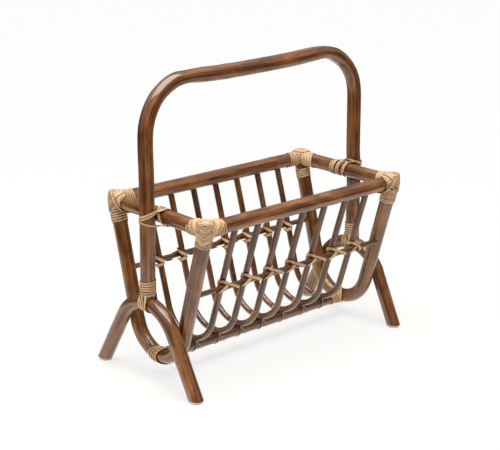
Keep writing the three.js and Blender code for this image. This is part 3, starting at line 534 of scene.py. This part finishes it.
# Stringers: a thin cane along each side, tied outside the ribs at half height. They keep the ribs
# at their spacing and take as much stain as the ribs do.
STRINGER_RADIUS = 0.0042
STRINGER_HEIGHT = 0.153
STRINGER_JOINTS = (0.17, 0.31)
STRINGER_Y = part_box("back_stringer")[1].y - STRINGER_RADIUS
for side, y in (("front", -STRINGER_Y), ("back", STRINGER_Y)):
    low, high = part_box(side + "_stringer")
    first, last = Vector((low.x, y, STRINGER_HEIGHT)), Vector((high.x, y, STRINGER_HEIGHT))
    route = wavy(first, last, 0.0007, y * 70)
    seed = 29 + y * 9
    make_cane(side + "_stringer", route, STRINGER_RADIUS, STRINGER_JOINTS, seed, RIB_SIDES, RIB_STAIN)


# Nails and dowels: drawn steel nails at the joints and a wooden dowel in each handle foot. They
# are driven in before the strips go on, so nothing of them shows, and the CAD solids stand here.
def drawn_steel():
    finish = Finish("drawn_steel", metallic=1.0)
    place = finish.node("ShaderNodeTexCoord", {}, {}, 3)
    drawn = finish.stretched(place, (900, 900, 900), 1, 3)
    shade = finish.blend(drawn, colour(128, 130, 133), colour(168, 170, 172))
    finish.give(finish.shader.inputs["Base Color"], shade)
    finish.give(finish.shader.inputs["Roughness"], 0.25 + 0.25 * drawn)
    return finish.material


def raw_dowel():
    finish = Finish("raw_dowel")
    place = finish.node("ShaderNodeTexCoord", {}, {}, 3)
    grain = finish.stretched(place, (900, 900, 40), 1, 4)
    shade = finish.blend(grain.between(0.35, 0.7), colour(150, 112, 72), colour(196, 160, 114))
    finish.give(finish.shader.inputs["Base Color"], shade)
    finish.give(finish.shader.inputs["Roughness"], 0.65 + 0.15 * grain)
    return finish.material


STEEL = drawn_steel()
DOWEL = raw_dowel()
for name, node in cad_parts.items():
    if name.endswith(("_pin", "_dowel")):
        node.data.materials.clear()
        node.data.materials.append(STEEL if name.endswith("_pin") else DOWEL)


# Corner lashings: strips of rattan peel, soaked, pulled tight and tucked in. Turns go round both
# rails and the leg, and loops over the corner's outside lie in each other as a shield of Vs.
PEEL_THICKNESS = 0.0006
PEEL_CROWN = 0.00035
PEEL_WIDTH = 0.0038
PEEL_STEP = 0.0014
PEEL_WANDER = 0.0004
PEEL_UNEVENNESS = 0.12
BATCH_STEP = 0.618
TIGHT_PULL = 0.6
LAYING_ROUNDS, PULLING_ROUNDS, EASING_ROUNDS = 10, 5, 4
UNDER, OVER, TOP = 0.0002, 0.0010, 0.0018


def dry_peel():
    """Bare rattan peel: cream to pale tan, fine fibres along the strip, and painted shade along its two edges
    where it meets the next strip.
    """
    finish = Finish("dry_peel", specular_ior_level=0.4, coat_weight=0.12, coat_roughness=0.3)
    place = finish.attribute("strip_place", 1)
    across = finish.attribute("strip_across", 2)
    batch = finish.attribute("strip_batch", 2)
    fibres = finish.stretched(place, (45, 2600, 1), 1, 4)
    patches = finish.stretched(place, (38, 120, 1), 1, 3)
    flecks = finish.stretched(place, (160, 1400, 1), 1, 5, 0.7)
    peel = finish.blend(batch, colour(214, 172, 130), colour(240, 208, 168))
    peel = finish.blend(patches.between(0.45, 0.75) * 0.6, peel, colour(190, 142, 98))
    peel = finish.blend(fibres.between(0.5, 0.8) * 0.45, peel, colour(160, 112, 72))
    peel = finish.blend(flecks.between(0.6, 0.8) * 0.4, peel, colour(250, 230, 198))
    # Painted shade: each strip darkens to brown at its two edges, as the seams between strips would be
    # shaded.
    peel = finish.blend(abs(across).between(0.5, 0.92), peel, colour(100, 60, 32))
    finish.give(finish.shader.inputs["Base Color"], peel)
    finish.give(finish.shader.inputs["Roughness"], 0.42 + 0.2 * fibres)
    finish.give(finish.shader.inputs["Normal"], finish.bump(fibres * 0.6 + flecks * 0.3, 0.0002))
    return finish.material


PEEL = dry_peel()


def distances(places, canes):
    """Distance of places to the nearest surface of several canes, drawn together where they meet,
    and the way straight out from it. A cane is a route and a radius, and is cut off square."""
    gaps = []
    ways = []
    rim = 0.0012
    for route, radius in canes:
        starts = np.array([tuple(place) for place in route[:-1]])
        spans = np.array([tuple(place) for place in route[1:]]) - starts
        offset = places[:, None, :] - starts[None]
        share = np.clip((offset * spans).sum(2) / (spans ** 2).sum(1), 0, 1)
        away = offset - share[..., None] * spans
        gap = np.sqrt((away ** 2).sum(2))
        best = gap.argmin(1)
        rows = np.arange(len(places))
        unit = spans[best] / np.linalg.norm(spans[best], axis=1)[:, None]
        past = (away[rows, best] * unit).sum(1)
        aside = away[rows, best] - past[:, None] * unit
        reach = np.maximum(np.linalg.norm(aside, axis=1), 1e-9)
        side = np.maximum(reach - (radius - rim), 0)
        end = np.where(np.abs(past) > 1e-7, np.abs(past) + rim, 0)
        gaps.append(np.where(end > 0, np.hypot(side, end), reach - radius + rim) - rim)
        way = aside / reach[:, None] * np.where(end > 0, side, 1)[:, None]
        ways.append(way + unit * (np.sign(past) * end)[:, None])
        ways[-1] /= np.maximum(np.linalg.norm(ways[-1], axis=1), 1e-9)[:, None]
    gaps = np.array(gaps)
    soft = 0.0008
    least = gaps.min(0)
    weights = np.exp(-(gaps - least) / soft)
    total = weights.sum(0)
    way = (weights[..., None] * np.array(ways)).sum(0) / total[:, None]
    way /= np.maximum(np.linalg.norm(way, axis=1), 1e-9)[:, None]
    return least - soft * np.log(total), way


def eased(values):
    values[1:-1] = 0.5 * values[1:-1] + 0.25 * (values[2:] + values[:-2])


def laid(rough, canes, lift, pull):
    """Pulls a rough route tight: it is pushed out of the canes to its lift above them, drawn in to
    them at first, and bridges their hollows."""
    route = np.array([tuple(place) for place in rough])
    steps = np.concatenate([[0], np.cumsum(np.linalg.norm(np.diff(route, axis=0), axis=1))])
    count = max(4, math.ceil(steps[-1] / PEEL_STEP))
    stations = np.linspace(0, steps[-1], count + 1)
    places = np.stack([np.interp(stations, steps, route[:, axis]) for axis in range(3)], 1)
    for turn in range(LAYING_ROUNDS):
        gap, way = distances(places, canes)
        short = lift - gap
        drawn_in = pull if turn < PULLING_ROUNDS else 0
        places += (short * np.where(short > 0, 1, drawn_in))[:, None] * way
        eased(places)
    gap, way = distances(places, canes)
    places += np.maximum(lift - gap, 0)[:, None] * way
    for turn in range(EASING_ROUNDS):
        eased(way)
    return places, way


STRIPS = []
STRIP_NUMBERS = itertools.count()


def strip(rough, canes, lift, width=PEEL_WIDTH, pull=TIGHT_PULL):
    """One strip of peel: a flat grid, laid along its route with its crowned side out."""
    places, ways = laid(rough, canes, lift, pull)
    ahead = np.gradient(places, axis=0)
    ahead /= np.linalg.norm(ahead, axis=1)[:, None]
    over = np.cross(ways, ahead)
    over /= np.linalg.norm(over, axis=1)[:, None]
    out = np.cross(ahead, over)
    number = next(STRIP_NUMBERS)
    batch = number * BATCH_STEP % 1
    steps = np.concatenate([[0], np.cumsum(np.linalg.norm(np.diff(places, axis=0), axis=1))])
    drift = np.array([noise.noise(Vector((step * 60, number * 1.7, 0))) for step in steps])
    places = places + over * (drift * PEEL_WANDER)[:, None]
    half = width / 2 * (0.94 + 0.1 * batch) * (1 + PEEL_UNEVENNESS * drift)
    count = len(places) - 1
    deselect()
    bpy.ops.mesh.primitive_grid_add(x_subdivisions=count, y_subdivisions=4, size=1)
    made = bpy.context.object
    mesh = made.data
    flat = np.zeros(len(mesh.vertices) * 3)
    mesh.vertices.foreach_get("co", flat)
    flat = flat.reshape(-1, 3)
    station = np.rint((flat[:, 0] + 0.5) * count).astype(int)
    across = flat[:, 1] * 2
    height = PEEL_THICKNESS + PEEL_CROWN * (1 - across ** 2)
    sideways = over[station] * (across * half[station])[:, None]
    bent = places[station] + sideways + out[station] * height[:, None]
    mesh.vertices.foreach_set("co", bent.ravel())
    noted = np.stack([steps[station], across * width / 2 + batch, np.full(len(across), batch * 7)], 1)
    mesh.attributes.new("strip_place", "FLOAT_VECTOR", "POINT").data.foreach_set("vector", noted.ravel())
    mesh.attributes.new("strip_across", "FLOAT", "POINT").data.foreach_set("value", across)
    shades = np.full(len(across), batch)
    mesh.attributes.new("strip_batch", "FLOAT", "POINT").data.foreach_set("value", shades)
    mesh.update()
    STRIPS.append(made)


def tie(node):
    """Joins the strips made since the last tie to one lashing, and gives them their thickness."""
    deselect()
    for made in STRIPS:
        made.select_set(True)
    bpy.context.view_layer.objects.active = STRIPS[0]
    if len(STRIPS) > 1:
        bpy.ops.object.join()
    STRIPS.clear()
    lashing = bpy.context.object
    lashing.name = node.replace("lashing", "binding")
    bpy.ops.object.transform_apply(location=True, rotation=True, scale=True)
    thick = lashing.modifiers.new("thick", "SOLIDIFY")
    thick.thickness = PEEL_THICKNESS
    thick.offset = -1
    bpy.ops.object.modifier_apply(modifier=thick.name)
    bpy.ops.object.shade_smooth_by_angle(angle=math.radians(45))
    lashing.data.materials.clear()
    lashing.data.materials.append(PEEL)
    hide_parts(node)
    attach(lashing, "root")


SKIN_STEP = 0.001
SKIN_SPOKES = 48
CUT_DEPTH = 0.0009


def skin(canes):
    """Places all over the surfaces of some canes, in rings a millimetre apart."""
    spots = []
    for route, radius in canes:
        marks = measured(route)
        for step in range(math.ceil(marks[-1] / SKIN_STEP) + 1):
            reach = min(step * SKIN_STEP, marks[-1])
            index = max(0, min(np.searchsorted(marks, reach) - 1, len(route) - 2))
            along = (route[index + 1] - route[index]).normalized()
            middle = route[index] + along * (reach - marks[index])
            side = along.orthogonal().normalized()
            other = along.cross(side)
            for spoke in range(SKIN_SPOKES):
                angle = 2 * math.pi * spoke / SKIN_SPOKES
                spots.append(middle + (side * math.cos(angle) + other * math.sin(angle)) * radius)
    return np.array([tuple(spot) for spot in spots])


def loop(spots, centre, facing, start):
    """A tight loop round canes: the outline of their cut by a plane. It begins on the start's side
    and closes over its own end."""
    facing = facing.normalized()
    side = facing.orthogonal().normalized()
    other = facing.cross(side)
    offset = spots - np.array(centre)
    near = offset[np.abs(offset @ np.array(facing)) < CUT_DEPTH]
    flat = [Vector((place @ np.array(side), place @ np.array(other))) for place in near]
    hull = [flat[index] for index in geometry.convex_hull_2d(flat)]
    start_way = Vector((start @ side, start @ other))
    first = max(range(len(hull)), key=lambda index: hull[index] @ start_way)
    ring = hull[first:] + hull[:first]
    return [centre + side * place.x + other * place.y for place in ring + ring[:3]]


STEPS_PER_TURN = 24


def coil(origin, axis, start_way, radius, first, last, turns, lean=0.0, lean_way=None):
    """A rough helix round a straight axis, from one length along it to another. It may lean: the
    side that faces the lean's way lies further along."""
    side = axis.cross(start_way)
    route = []
    steps = math.ceil(turns * STEPS_PER_TURN)
    for step in range(steps + 1):
        angle = 2 * math.pi * turns * step / steps
        out = start_way * math.cos(angle) + side * math.sin(angle)
        along = first + (last - first) * step / steps
        if lean_way:
            along += lean * (out @ lean_way)
        route.append(origin + axis * along + out * radius)
    return route


ALONG, ACROSS, UP = Vector((1, 0, 0)), Vector((0, 1, 0)), Vector((0, 0, 1))


def placed(origin, ways, point):
    """A place that is given in mm from an origin, along three ways."""
    return origin + sum((way * part for way, part in zip(ways, point)), Vector()) / 1000


# For each rail, how far the turns reach along it and how much they lean. The rest of a corner's
# plan starts from the usual one. Only the right back corner is seen from the rack's inside.
STUB, LEG_STUB = 0.06, 0.07
CUFF_PITCH = 0.0039
CUFF_DROOP = 0.35
RAIL_EDGE, LEG_EDGE = 0.0016, 0.002
LEG_LIFT, CAP_LIFT, CROWN_LIFT = 0.0006, 0.0007, 0.0009
USUAL_CORNER = {
    "overlap": 0.001, "lean_side": -1, "leg_start": 0.0065, "leg_reach": 0.036, "leg_lift": LEG_LIFT,
    "strands": 7, "over": -3, "tip": 6, "crossings": 0,
}
CORNERS = {
    "left_front": {
        "long": (0.031, 0.0015), "end": (0.026, 0.005), "leg_reach": 0.027, "leg_lift": UNDER,
        "strands": 8, "over": 3, "tip": 3,
    },
    "left_back": {"long": (0.034, 0.004), "end": (0.0205, 0.0075), "crossings": 2},
    "right_front": {"long": (0.0235, 0.0045), "end": (0.031, 0.003), "leg_reach": 0.037, "crossings": 2},
    "right_back": {
        "long": (0.036, 0.0045), "end": (0.035, 0.0045), "overlap": 0.004, "lean_side": 1,
        "leg_start": 0.0175, "leg_lift": UNDER,
    },
}

# The first layer's loops, by where each one's plane meets the corner's top and its outer edge. Then
# come strips over the top, which show in the shield's middle, the shield's strands and crossings.
HALF_ROOT = 0.7071
CAP_LOOPS = (
    (0.021, -0.015), (0.0175, -0.009), (0.014, -0.004), (-0.0125, 0.0085),
    (-0.009, 0.0075), (-0.0055, 0.0065), (-0.002, 0.0055), (0.0015, 0.0045),
)
CROWN_SHIFTS = (-1, -3.5, -6, -8.5)
CROWN_ARC = ((12, -1), (10, 3), (5, 10), (0, 12.5), (-5, 10), (-10, 3), (-12, -1))
CROWN_PULL = 0.3
SHIELD_TOP, SHIELD_SHOULDER = 12.5, 8.5
SHIELD_OVER_SPAN, SHIELD_TIP_SPAN = 19, 25
SHIELD_PULL = 0.35
STRAND_RISE = 0.0001
CROSSING = ((-5, -8, 13), (2, -12, 9), (10, -13.5, 2), (18, -12.5, -6), (23, -7, -12), (27, 2, -13))
CROSSING_PITCH = 4.2
STRIP_SPACING = 0.0011
for name, changes in CORNERS.items():
    plan = USUAL_CORNER | changes
    end, side = name.split("_")
    way_x, way_y = (-1 if end == "left" else 1), (-1 if side == "front" else 1)
    corner = Vector((way_x * RIM_HALF_LENGTH, way_y * RIM_HALF_WIDTH, RIM_HEIGHT))
    in_x, in_y = ALONG * -way_x, ACROSS * -way_y
    route = HOOP_ROUTES[end] if way_y < 0 else HOOP_ROUTES[end][::-1]
    leg_down = (route[LEG_STEPS // 4] - route[0]).normalized()
    leg_part = [place for place in route[1:] if (place - corner).length < LEG_STUB]
    long_rail = ([corner, corner + in_x * STUB], RAIL_RADIUS)
    end_rail = ([corner, corner + in_y * STUB], RAIL_RADIUS)
    leg = ([corner + UP * RAIL_RADIUS, corner, *leg_part], RAIL_RADIUS)
    canes = [long_rail, end_rail, leg]

    radius = RAIL_RADIUS + UNDER
    for rail, cane, rail_way, other_way in (("long", long_rail, in_x, in_y), ("end", end_rail, in_y, in_x)):
        reach, lean = plan[rail]
        first, last = RAIL_RADIUS - plan["overlap"], reach - RAIL_EDGE
        turns = (last - first) / CUFF_PITCH
        lean_way = (other_way * plan["lean_side"] - UP * CUFF_DROOP).normalized()
        strip(coil(corner, rail_way, other_way, radius, first, last, turns, lean, lean_way), [cane], UNDER)
    first, last = plan["leg_start"], plan["leg_reach"] - LEG_EDGE
    turns = (last - first) / CUFF_PITCH
    strip(coil(corner, leg_down, in_x, radius, first, last, turns), [leg], plan["leg_lift"])

    spots = skin(canes)
    outer_edge = corner - (in_x + in_y) * (RAIL_RADIUS * HALF_ROOT)
    for chord, tip in CAP_LOOPS:
        crown = corner + (in_x + in_y) * (chord / 2) + UP * RAIL_RADIUS
        point = outer_edge + (UP * tip if tip > 0 else leg_down * -tip)
        rough = loop(spots, point, (crown - point).cross(in_x - in_y), in_x + in_y)
        strip(rough, canes, CAP_LIFT if tip > 0 else UNDER)
    for shift in CROWN_SHIFTS:
        points = [(shift + out, shift - out, rise) for out, rise in CROWN_ARC]
        rough = [placed(corner, (in_x, in_y, UP), point) for point in points]
        strip(even(rough, STRIP_SPACING), canes, CROWN_LIFT, pull=CROWN_PULL)

    for strand in range(plan["strands"]):
        share = strand / (plan["strands"] - 1)
        over = plan["over"] + SHIELD_OVER_SPAN * share
        tip = plan["tip"] - SHIELD_TIP_SPAN * share
        arm = [
            (over / 2, over / 2, SHIELD_TOP),
            (over, 0, SHIELD_TOP),
            (over - 4, -10, SHIELD_SHOULDER),
            ((over - 13) / 2, -12.5, (SHIELD_SHOULDER + tip) / 2),
        ]
        mirrored = [(aside, along, rise) for along, aside, rise in reversed(arm)]
        rough = []
        for point in (*arm, (-9, -9, tip), *mirrored):
            rough.append(placed(corner, (in_x, in_y, UP if point[2] > 0 else -leg_down), point))
        strip(rough, canes, OVER + STRAND_RISE * strand, pull=SHIELD_PULL)
    for crossing in range(plan["crossings"]):
        points = [(along + CROSSING_PITCH * crossing, aside, rise) for along, aside, rise in CROSSING]
        for ways in ((in_x, in_y, UP), (in_y, in_x, UP)):
            rough = [placed(corner, ways, point) for point in points]
            strip(even(rough, STRIP_SPACING), canes, TOP)
    tie(f"{name}_corner_lashing")


# Handle and rail lashings: at the left, three strands fan from the rail round the handle's leg and
# two cross over the rail. At the right, five turns go round the rail and two strands round the leg.
HANDLE_LEG_X = {"left": 0.2248, "right": 0.2234}
LOOSE_PULL = 0.12
HANDLE_STRANDS = {
    "left": (
        (
            UNDER, (24, 13, -7), (31, 10, -3), (35.5, 2, 1.5), (34, -6, 5), (28, -12, 8.5),
            (17, -15.5, 12), (5, -17.5, 14), (-6, -20, 12), (-13, -22, 0),
        ),
        (
            UNDER, (24, 13, -10), (31, 10, -7), (35.5, 2, -2.5), (34, -6, 0.5), (28, -12, 4),
            (17, -14.5, 9), (6, -13.5, 13), (-6, -13, 12), (-13, -13, 0),
        ),
        (
            UNDER, (24, 13, -10), (31, 10, -8), (35.5, 2, -6), (34, -7, -7.5), (26, -13, -10),
            (14, -16, -12), (4, -19, -13.5), (-8, -19, -10), (-13, -19, 0),
        ),
        (
            OVER, (-13, 2, 0), (-8, 0, 10), (2, -3, 13.5), (10, -9, 9),
            (13.5, -14, 0), (10, -18, -8), (0, -20, -13), (-10, -18, -8),
        ),
        (
            OVER, (-13, -6, 2), (-7, -7, 11), (3, -8, 13), (10, -13, 8),
            (13.5, -17.5, -1), (9, -21, -9), (0, -23, -13), (-10, -23, -8),
        ),
    ),
    "right": (
        (
            OVER, (-13, -8.5, -2), (-6, -8.5, 12), (4, -9, 13.5), (12, -11, 14), (20, -14, 12), (30, -10, 10),
            (35, 0, 9), (28, 12, 8), (14, 14, 11), (3, 15, 13), (-7, 15, 11), (-13, 15, -2),
        ),
        (
            OVER, (27, 12, 9), (14, 13, 13), (10, 4, 15), (10, -6, 15), (14, -12, 13), (22, -15, 9),
            (31, -9, 4.5), (35, 2, 3), (30, 10, 6), (22, 13, 10),
        ),
    ),
}
RAIL_TURNS = {"left": (), "right": (24, 19.5, 9.5, 5.5, -4.5)}
TURN_TILT = 0.06
RAIL_PART, LEG_PART = 0.05, 0.04
for end, way_x in (("left", -1), ("right", 1)):
    middle = Vector((way_x * RIM_HALF_LENGTH, 0, RIM_HEIGHT))
    rail = ([middle - ACROSS * RAIL_PART, middle + ACROSS * RAIL_PART], RAIL_RADIUS)
    beside = Vector((way_x * HANDLE_LEG_X[end], 0, RIM_HEIGHT))
    leg = ([beside - UP * LEG_PART, beside + UP * LEG_PART], HANDLE_RADIUS)
    for lift, *points in HANDLE_STRANDS[end]:
        rough = [placed(middle, (ALONG * way_x, ACROSS, UP), point) for point in points]
        strip(even(rough, STRIP_SPACING), [rail, leg], lift, pull=LOOSE_PULL)
    for y in RAIL_TURNS[end]:
        centre = middle + ACROSS * (y / 1000)
        strip(loop(skin([rail]), centre, ACROSS + UP * TURN_TILT, -UP), [rail], UNDER)
    tie(f"{end}_handle_rail_lashing")


# Handle foot lashings: turns round the foot of the handle's leg, and four strips beside each
# other that go down from them, round the arch, and spread a little on their way.
FOOT_HEIGHT = 0.1345
FOOT_CUFF = (0.0045, 0.0275, 5.8)
FOOT_STUB = 0.006
FOOT_LOOPS = {"left": (0.0075, 0.0028, -0.0019, -0.0066), "right": (0.0095, 0.0048, 0.0001, -0.0046)}
FOOT_TILT, FOOT_SPREAD = 0.12, 8
FOOT_STRIP_WIDTH = 0.0046


def middle_part(route, reach, low=0, high=1):
    """The part of a bent cane that lies within reach of the rack's middle, between two heights."""
    return [place for place in route if abs(place.y) < reach and low < place.z < high]


for end, way_x in (("left", -1), ("right", 1)):
    foot = Vector((way_x * LEG_X, 0, FOOT_HEIGHT))
    leg = ([foot, foot + UP * LEG_PART], HANDLE_RADIUS)
    strip(coil(foot, UP, ACROSS, HANDLE_RADIUS, *FOOT_CUFF), [leg], UNDER)
    stub = ([foot, foot + UP * FOOT_STUB], HANDLE_RADIUS)
    arch_part = middle_part(ARCH_ROUTES[end], 0.045, low=0.08)
    arch = (arch_part, ARCH_RADIUS)
    spots = skin([stub, arch])
    for y in FOOT_LOOPS[end]:
        crown = min(arch_part, key=lambda place: abs(place.y - y))
        facing = ACROSS - UP * (FOOT_TILT + y * FOOT_SPREAD)
        strip(loop(spots, crown, facing, ALONG * -way_x), [stub, arch], OVER, FOOT_STRIP_WIDTH)
    tie(f"{end}_handle_foot_lashing")


# Keel end lashings: strips that cross the joint aslant, over the hoop on one side and round the
# keel on the other, and are pulled down between them. A few turns round the keel hold them.
KEEL_LOOPS = {"left": (-0.0098, -0.0062, -0.0026, 0.001), "right": (-0.0062, -0.0026, 0.001)}
KEEL_CUFF = (0.172, 0.1875, 4)
for end, way_x in (("left", -1), ("right", 1)):
    middle = Vector((way_x * RIM_HALF_LENGTH, 0, HOOP_BOTTOM_HEIGHT))
    hoop = (middle_part(HOOP_ROUTES[end], 0.055, high=0.1), RAIL_RADIUS)
    inner = Vector((way_x * (RIM_HALF_LENGTH - STUB), 0, KEEL_HEIGHT))
    keel = ([inner, Vector((middle.x, 0, KEEL_HEIGHT))], KEEL_RADIUS)
    spots = skin([hoop, keel])
    facing = (ALONG - ACROSS * way_x).normalized()
    for offset in KEEL_LOOPS[end]:
        strip(loop(spots, middle + facing * offset, facing, -UP), [hoop, keel], OVER)
    strip(coil(UP * KEEL_HEIGHT, ALONG * way_x, UP, KEEL_RADIUS, *KEEL_CUFF), [keel], UNDER)
    tie(f"{end}_keel_end_lashing")


# Keel lashing: one narrow strip runs along the keel. At each rib it crosses over the rib, goes
# round the keel, crosses again and runs aslant down the front to the next.
RIB_PASS = (
    (-9, 8, 38), (-5, 7, 46), (0, 0, 53.6), (4.5, -6.5, 47), (5.5, -9.6, 39), (3.5, -10, 31),
    (1, 0, 23.2), (-3, 10, 32), (-5, 9, 41), (-3.5, 6, 48.5), (1.5, 0, 53.8), (5, -6, 47.5),
    (6.5, -9.4, 41), (13, -10, 32), (21, -4, 24.4), (27, 4, 24.6), (33, 9.8, 31),
)
POINTS_TO_NEXT_RIB = 4
KEEL_STRIP_SPACING = 0.0012
KEEL_STRIP_WIDTH = 0.0019
KEEL_STRIP_PULL = 0.3
WRAPPED_KEEL_HALF = 0.19
rough = []
for x in RIB_XS:
    rough += [placed(ALONG * x, (ALONG, ACROSS, UP), point) for point in RIB_PASS]
rough = even(rough[:-POINTS_TO_NEXT_RIB], KEEL_STRIP_SPACING)
canes = [([Vector((x, 0, KEEL_HEIGHT)) for x in (-WRAPPED_KEEL_HALF, WRAPPED_KEEL_HALF)], KEEL_RADIUS)]
for route in RIB_ROUTES:
    canes.append((middle_part(route, 0.03, high=0.1), RIB_RADIUS))
strip(rough, canes, UNDER, KEEL_STRIP_WIDTH, KEEL_STRIP_PULL)
tie("keel_lashing")


# Stringer lashings: at each rib one strip rises across the stringer's front, goes over it and down
# behind the rib. The other comes up from there, falls across the first and runs on along the front.
RISING_LIFT, FALLING_LIFT = 0.0004, 0.0012
RISING = (
    (-17.5, -3, -5), (-18, 2, -6), (-16, 4.8, -4.2), (-11, 6, -1.4), (-4.5, 6, 1.6), (1, 5.2, 4.6),
    (5, 0.5, 6.6), (7, -6, 4.6), (5, -13, 1), (0, -15, -2), (-5, -13, -4.6), (-8, -6, -6.4),
)
FALLING = (
    (8, -7, -2.5), (5, -13, -0.5), (0, -15, 3), (-4.5, -12.6, 6.4), (-7.5, -6, 9), (-5.5, 0, 9.6),
    (0, 3, 7.6), (3.5, 5, 5.2),
)
RUNNING_ON = ((9, 5.8, 2.8), (16, 6, 0.2), (21.5, 5.2, -3.2), (24, 1.5, -6), (24, -3, -5))
LAST_TURN = ((7, 5.6, 1), (8.5, 4.6, -3), (9, 0, -6.4), (8, -6, -5.5))
STRINGER_STRIP_WIDTH = 0.0062
TIED_FROM, TIED_TO = 0.115, 0.19
for side, way_y in (("front", -1), ("back", 1)):
    low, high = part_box(side + "_stringer")
    line = [Vector((x, way_y * STRINGER_Y, STRINGER_HEIGHT)) for x in (low.x, high.x)]
    for x, route in zip(RIB_XS, RIB_ROUTES):
        rib_part = [place for place in route if place.y * way_y > 0 and TIED_FROM < place.z < TIED_TO]
        canes = [(line, STRINGER_RADIUS), (rib_part, RIB_RADIUS)]
        tied = Vector((x, way_y * STRINGER_Y, STRINGER_HEIGHT))
        falling = FALLING + (LAST_TURN if x == RIB_XS[-1] else RUNNING_ON)
        for points, lift in ((RISING, RISING_LIFT), (falling, FALLING_LIFT)):
            rough = [placed(tied, (ALONG, ACROSS * way_y, UP), point) for point in points]
            strip(even(rough, STRIP_SPACING), canes, lift, STRINGER_STRIP_WIDTH, LOOSE_PULL)
    tie(f"{side}_stringer_lashing")


# Floor, backdrop and light: a plain white studio sweep, with one large soft box overhead and a
# weak fill from the left. The room is dim towards the horizon, so the lacquer keeps its depth.
DIM_GREY = (0.12, 0.12, 0.12, 1)
PAPER_WHITE = (0.93, 0.92, 0.9, 1)
WARM_WHITE = (1, 0.95, 0.87, 1)
PURE_WHITE = (1, 1, 1, 1)
LAMP_WHITE = (1, 0.97, 0.92)
EVEN_SHARE = 0.72


class Studio(Finish):
    """The nodes of the floor or the world, which start from an empty tree."""

    def __init__(self, tree):
        self.tree = tree
        tree.nodes.clear()

    def ray(self, kind):
        return self.node("ShaderNodeLightPath", {}, {}, kind)


def studio_paper():
    """White paper, lit evenly for the camera but for a faint shadow. The glossy canes mirror it
    too, as far as it reaches: beyond, the room is dim."""
    material = bpy.data.materials.new("studio_paper")
    material.use_nodes = True
    studio = Studio(material.node_tree)
    place = studio.node("ShaderNodeTexCoord", {}, {}, "Object")
    distance = studio.node("ShaderNodeVectorMath", {"operation": "LENGTH"}, {0: place}, "Value")
    paper_here = 1 - distance.between(0.55, 0.9)
    seen = studio.ray("Is Camera Ray")
    mirrored = studio.ray("Is Glossy Ray") * paper_here
    evened = EVEN_SHARE + (1 - EVEN_SHARE) * 0.85 * distance.between(0.3, 0.8)
    lit = (seen * evened).or_larger(mirrored)
    tone = studio.blend(seen.or_larger(paper_here), DIM_GREY, PAPER_WHITE)
    paper = studio.node("ShaderNodeBsdfDiffuse", {}, {"Color": tone})
    white = studio.blend(seen, WARM_WHITE, PURE_WHITE)
    glow = studio.node("ShaderNodeEmission", {}, {"Color": white, "Strength": 1.0})
    surface = studio.node("ShaderNodeMixShader", {}, {0: lit, 1: paper, 2: glow})
    studio.node("ShaderNodeOutputMaterial", {}, {"Surface": surface})
    return material


deselect()
bpy.ops.mesh.primitive_plane_add(size=14, location=(0, 0, 0))
floor = bpy.context.object
floor.name = "studio_floor"
floor.data.materials.append(studio_paper())
floor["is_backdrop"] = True

world = bpy.context.scene.world or bpy.data.worlds.new("studio")
bpy.context.scene.world = world
world.use_nodes = True
sky = Studio(world.node_tree)
way = sky.node("ShaderNodeTexCoord", {}, {}, "Generated")
height = sky.node("ShaderNodeSeparateXYZ", {}, {"Vector": way}, "Z")
brightness = 0.12 + 0.55 * height.between(0.05, 0.9)
room = sky.node("ShaderNodeBackground", {}, {"Color": (*LAMP_WHITE, 1), "Strength": brightness})
backdrop = sky.node("ShaderNodeBackground", {}, {"Color": PURE_WHITE, "Strength": 1.0})
surface = sky.node("ShaderNodeMixShader", {}, {0: sky.ray("Is Camera Ray"), 1: room, 2: backdrop})
sky.node("ShaderNodeOutputWorld", {}, {"Surface": surface})

RACK_MIDDLE = 0.2
LAMPS = (
    ("overhead_box", (-0.25, -0.15, 1.7), 1.5, 32),
    ("left_fill", (-1.9, 0.5, 0.9), 1.4, 3),
)
for name, place, size, watts in LAMPS:
    bpy.ops.object.light_add(type="AREA", location=place)
    lamp = bpy.context.object
    lamp.name = name
    lamp.data.shape = "SQUARE"
    lamp.data.size = size
    lamp.data.energy = watts
    lamp.data.color = LAMP_WHITE
    aim = Vector((0, 0, RACK_MIDDLE)) - Vector(place)
    lamp.rotation_euler = aim.to_track_quat("-Z", "Y").to_euler()


# Camera: where the photographer stood, in front of the left end and a little above the rim.
AZIMUTH = math.radians(-43.29)
ELEVATION = math.radians(17.44)
ROLL = math.radians(0.74)
TARGET = Vector((-0.00862, 0.00823, 0.20168))
DISTANCE = 2.11798
FOCAL_PIXELS = 1325.13
PICTURE_WIDTH = 500
back = Vector((
    math.sin(AZIMUTH) * math.cos(ELEVATION),
    -math.cos(AZIMUTH) * math.cos(ELEVATION),
    math.sin(ELEVATION),
))
right = (-back).cross(Vector((0, 0, 1))).normalized()
upward = right.cross(-back)
tilted_right = right * math.cos(ROLL) + upward * math.sin(ROLL)
tilted_up = upward * math.cos(ROLL) - right * math.sin(ROLL)
lens = bpy.data.cameras.new("camera")
lens.sensor_width = 36
lens.lens = FOCAL_PIXELS * lens.sensor_width / PICTURE_WIDTH
lens.clip_start = 0.1
lens.clip_end = 50
camera = bpy.data.objects.new("camera", lens)
bpy.context.scene.collection.objects.link(camera)
place = TARGET + back * DISTANCE
turned = np.array([tilted_right, tilted_up, back]).T
matrix = camera.matrix_world.copy()
for row in range(3):
    for column in range(3):
        matrix[row][column] = turned[row][column]
    matrix[row][3] = place[row]
camera.matrix_world = matrix
bpy.context.scene.camera = camera
bpy.context.scene.view_settings.view_transform = "Standard"

low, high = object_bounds()
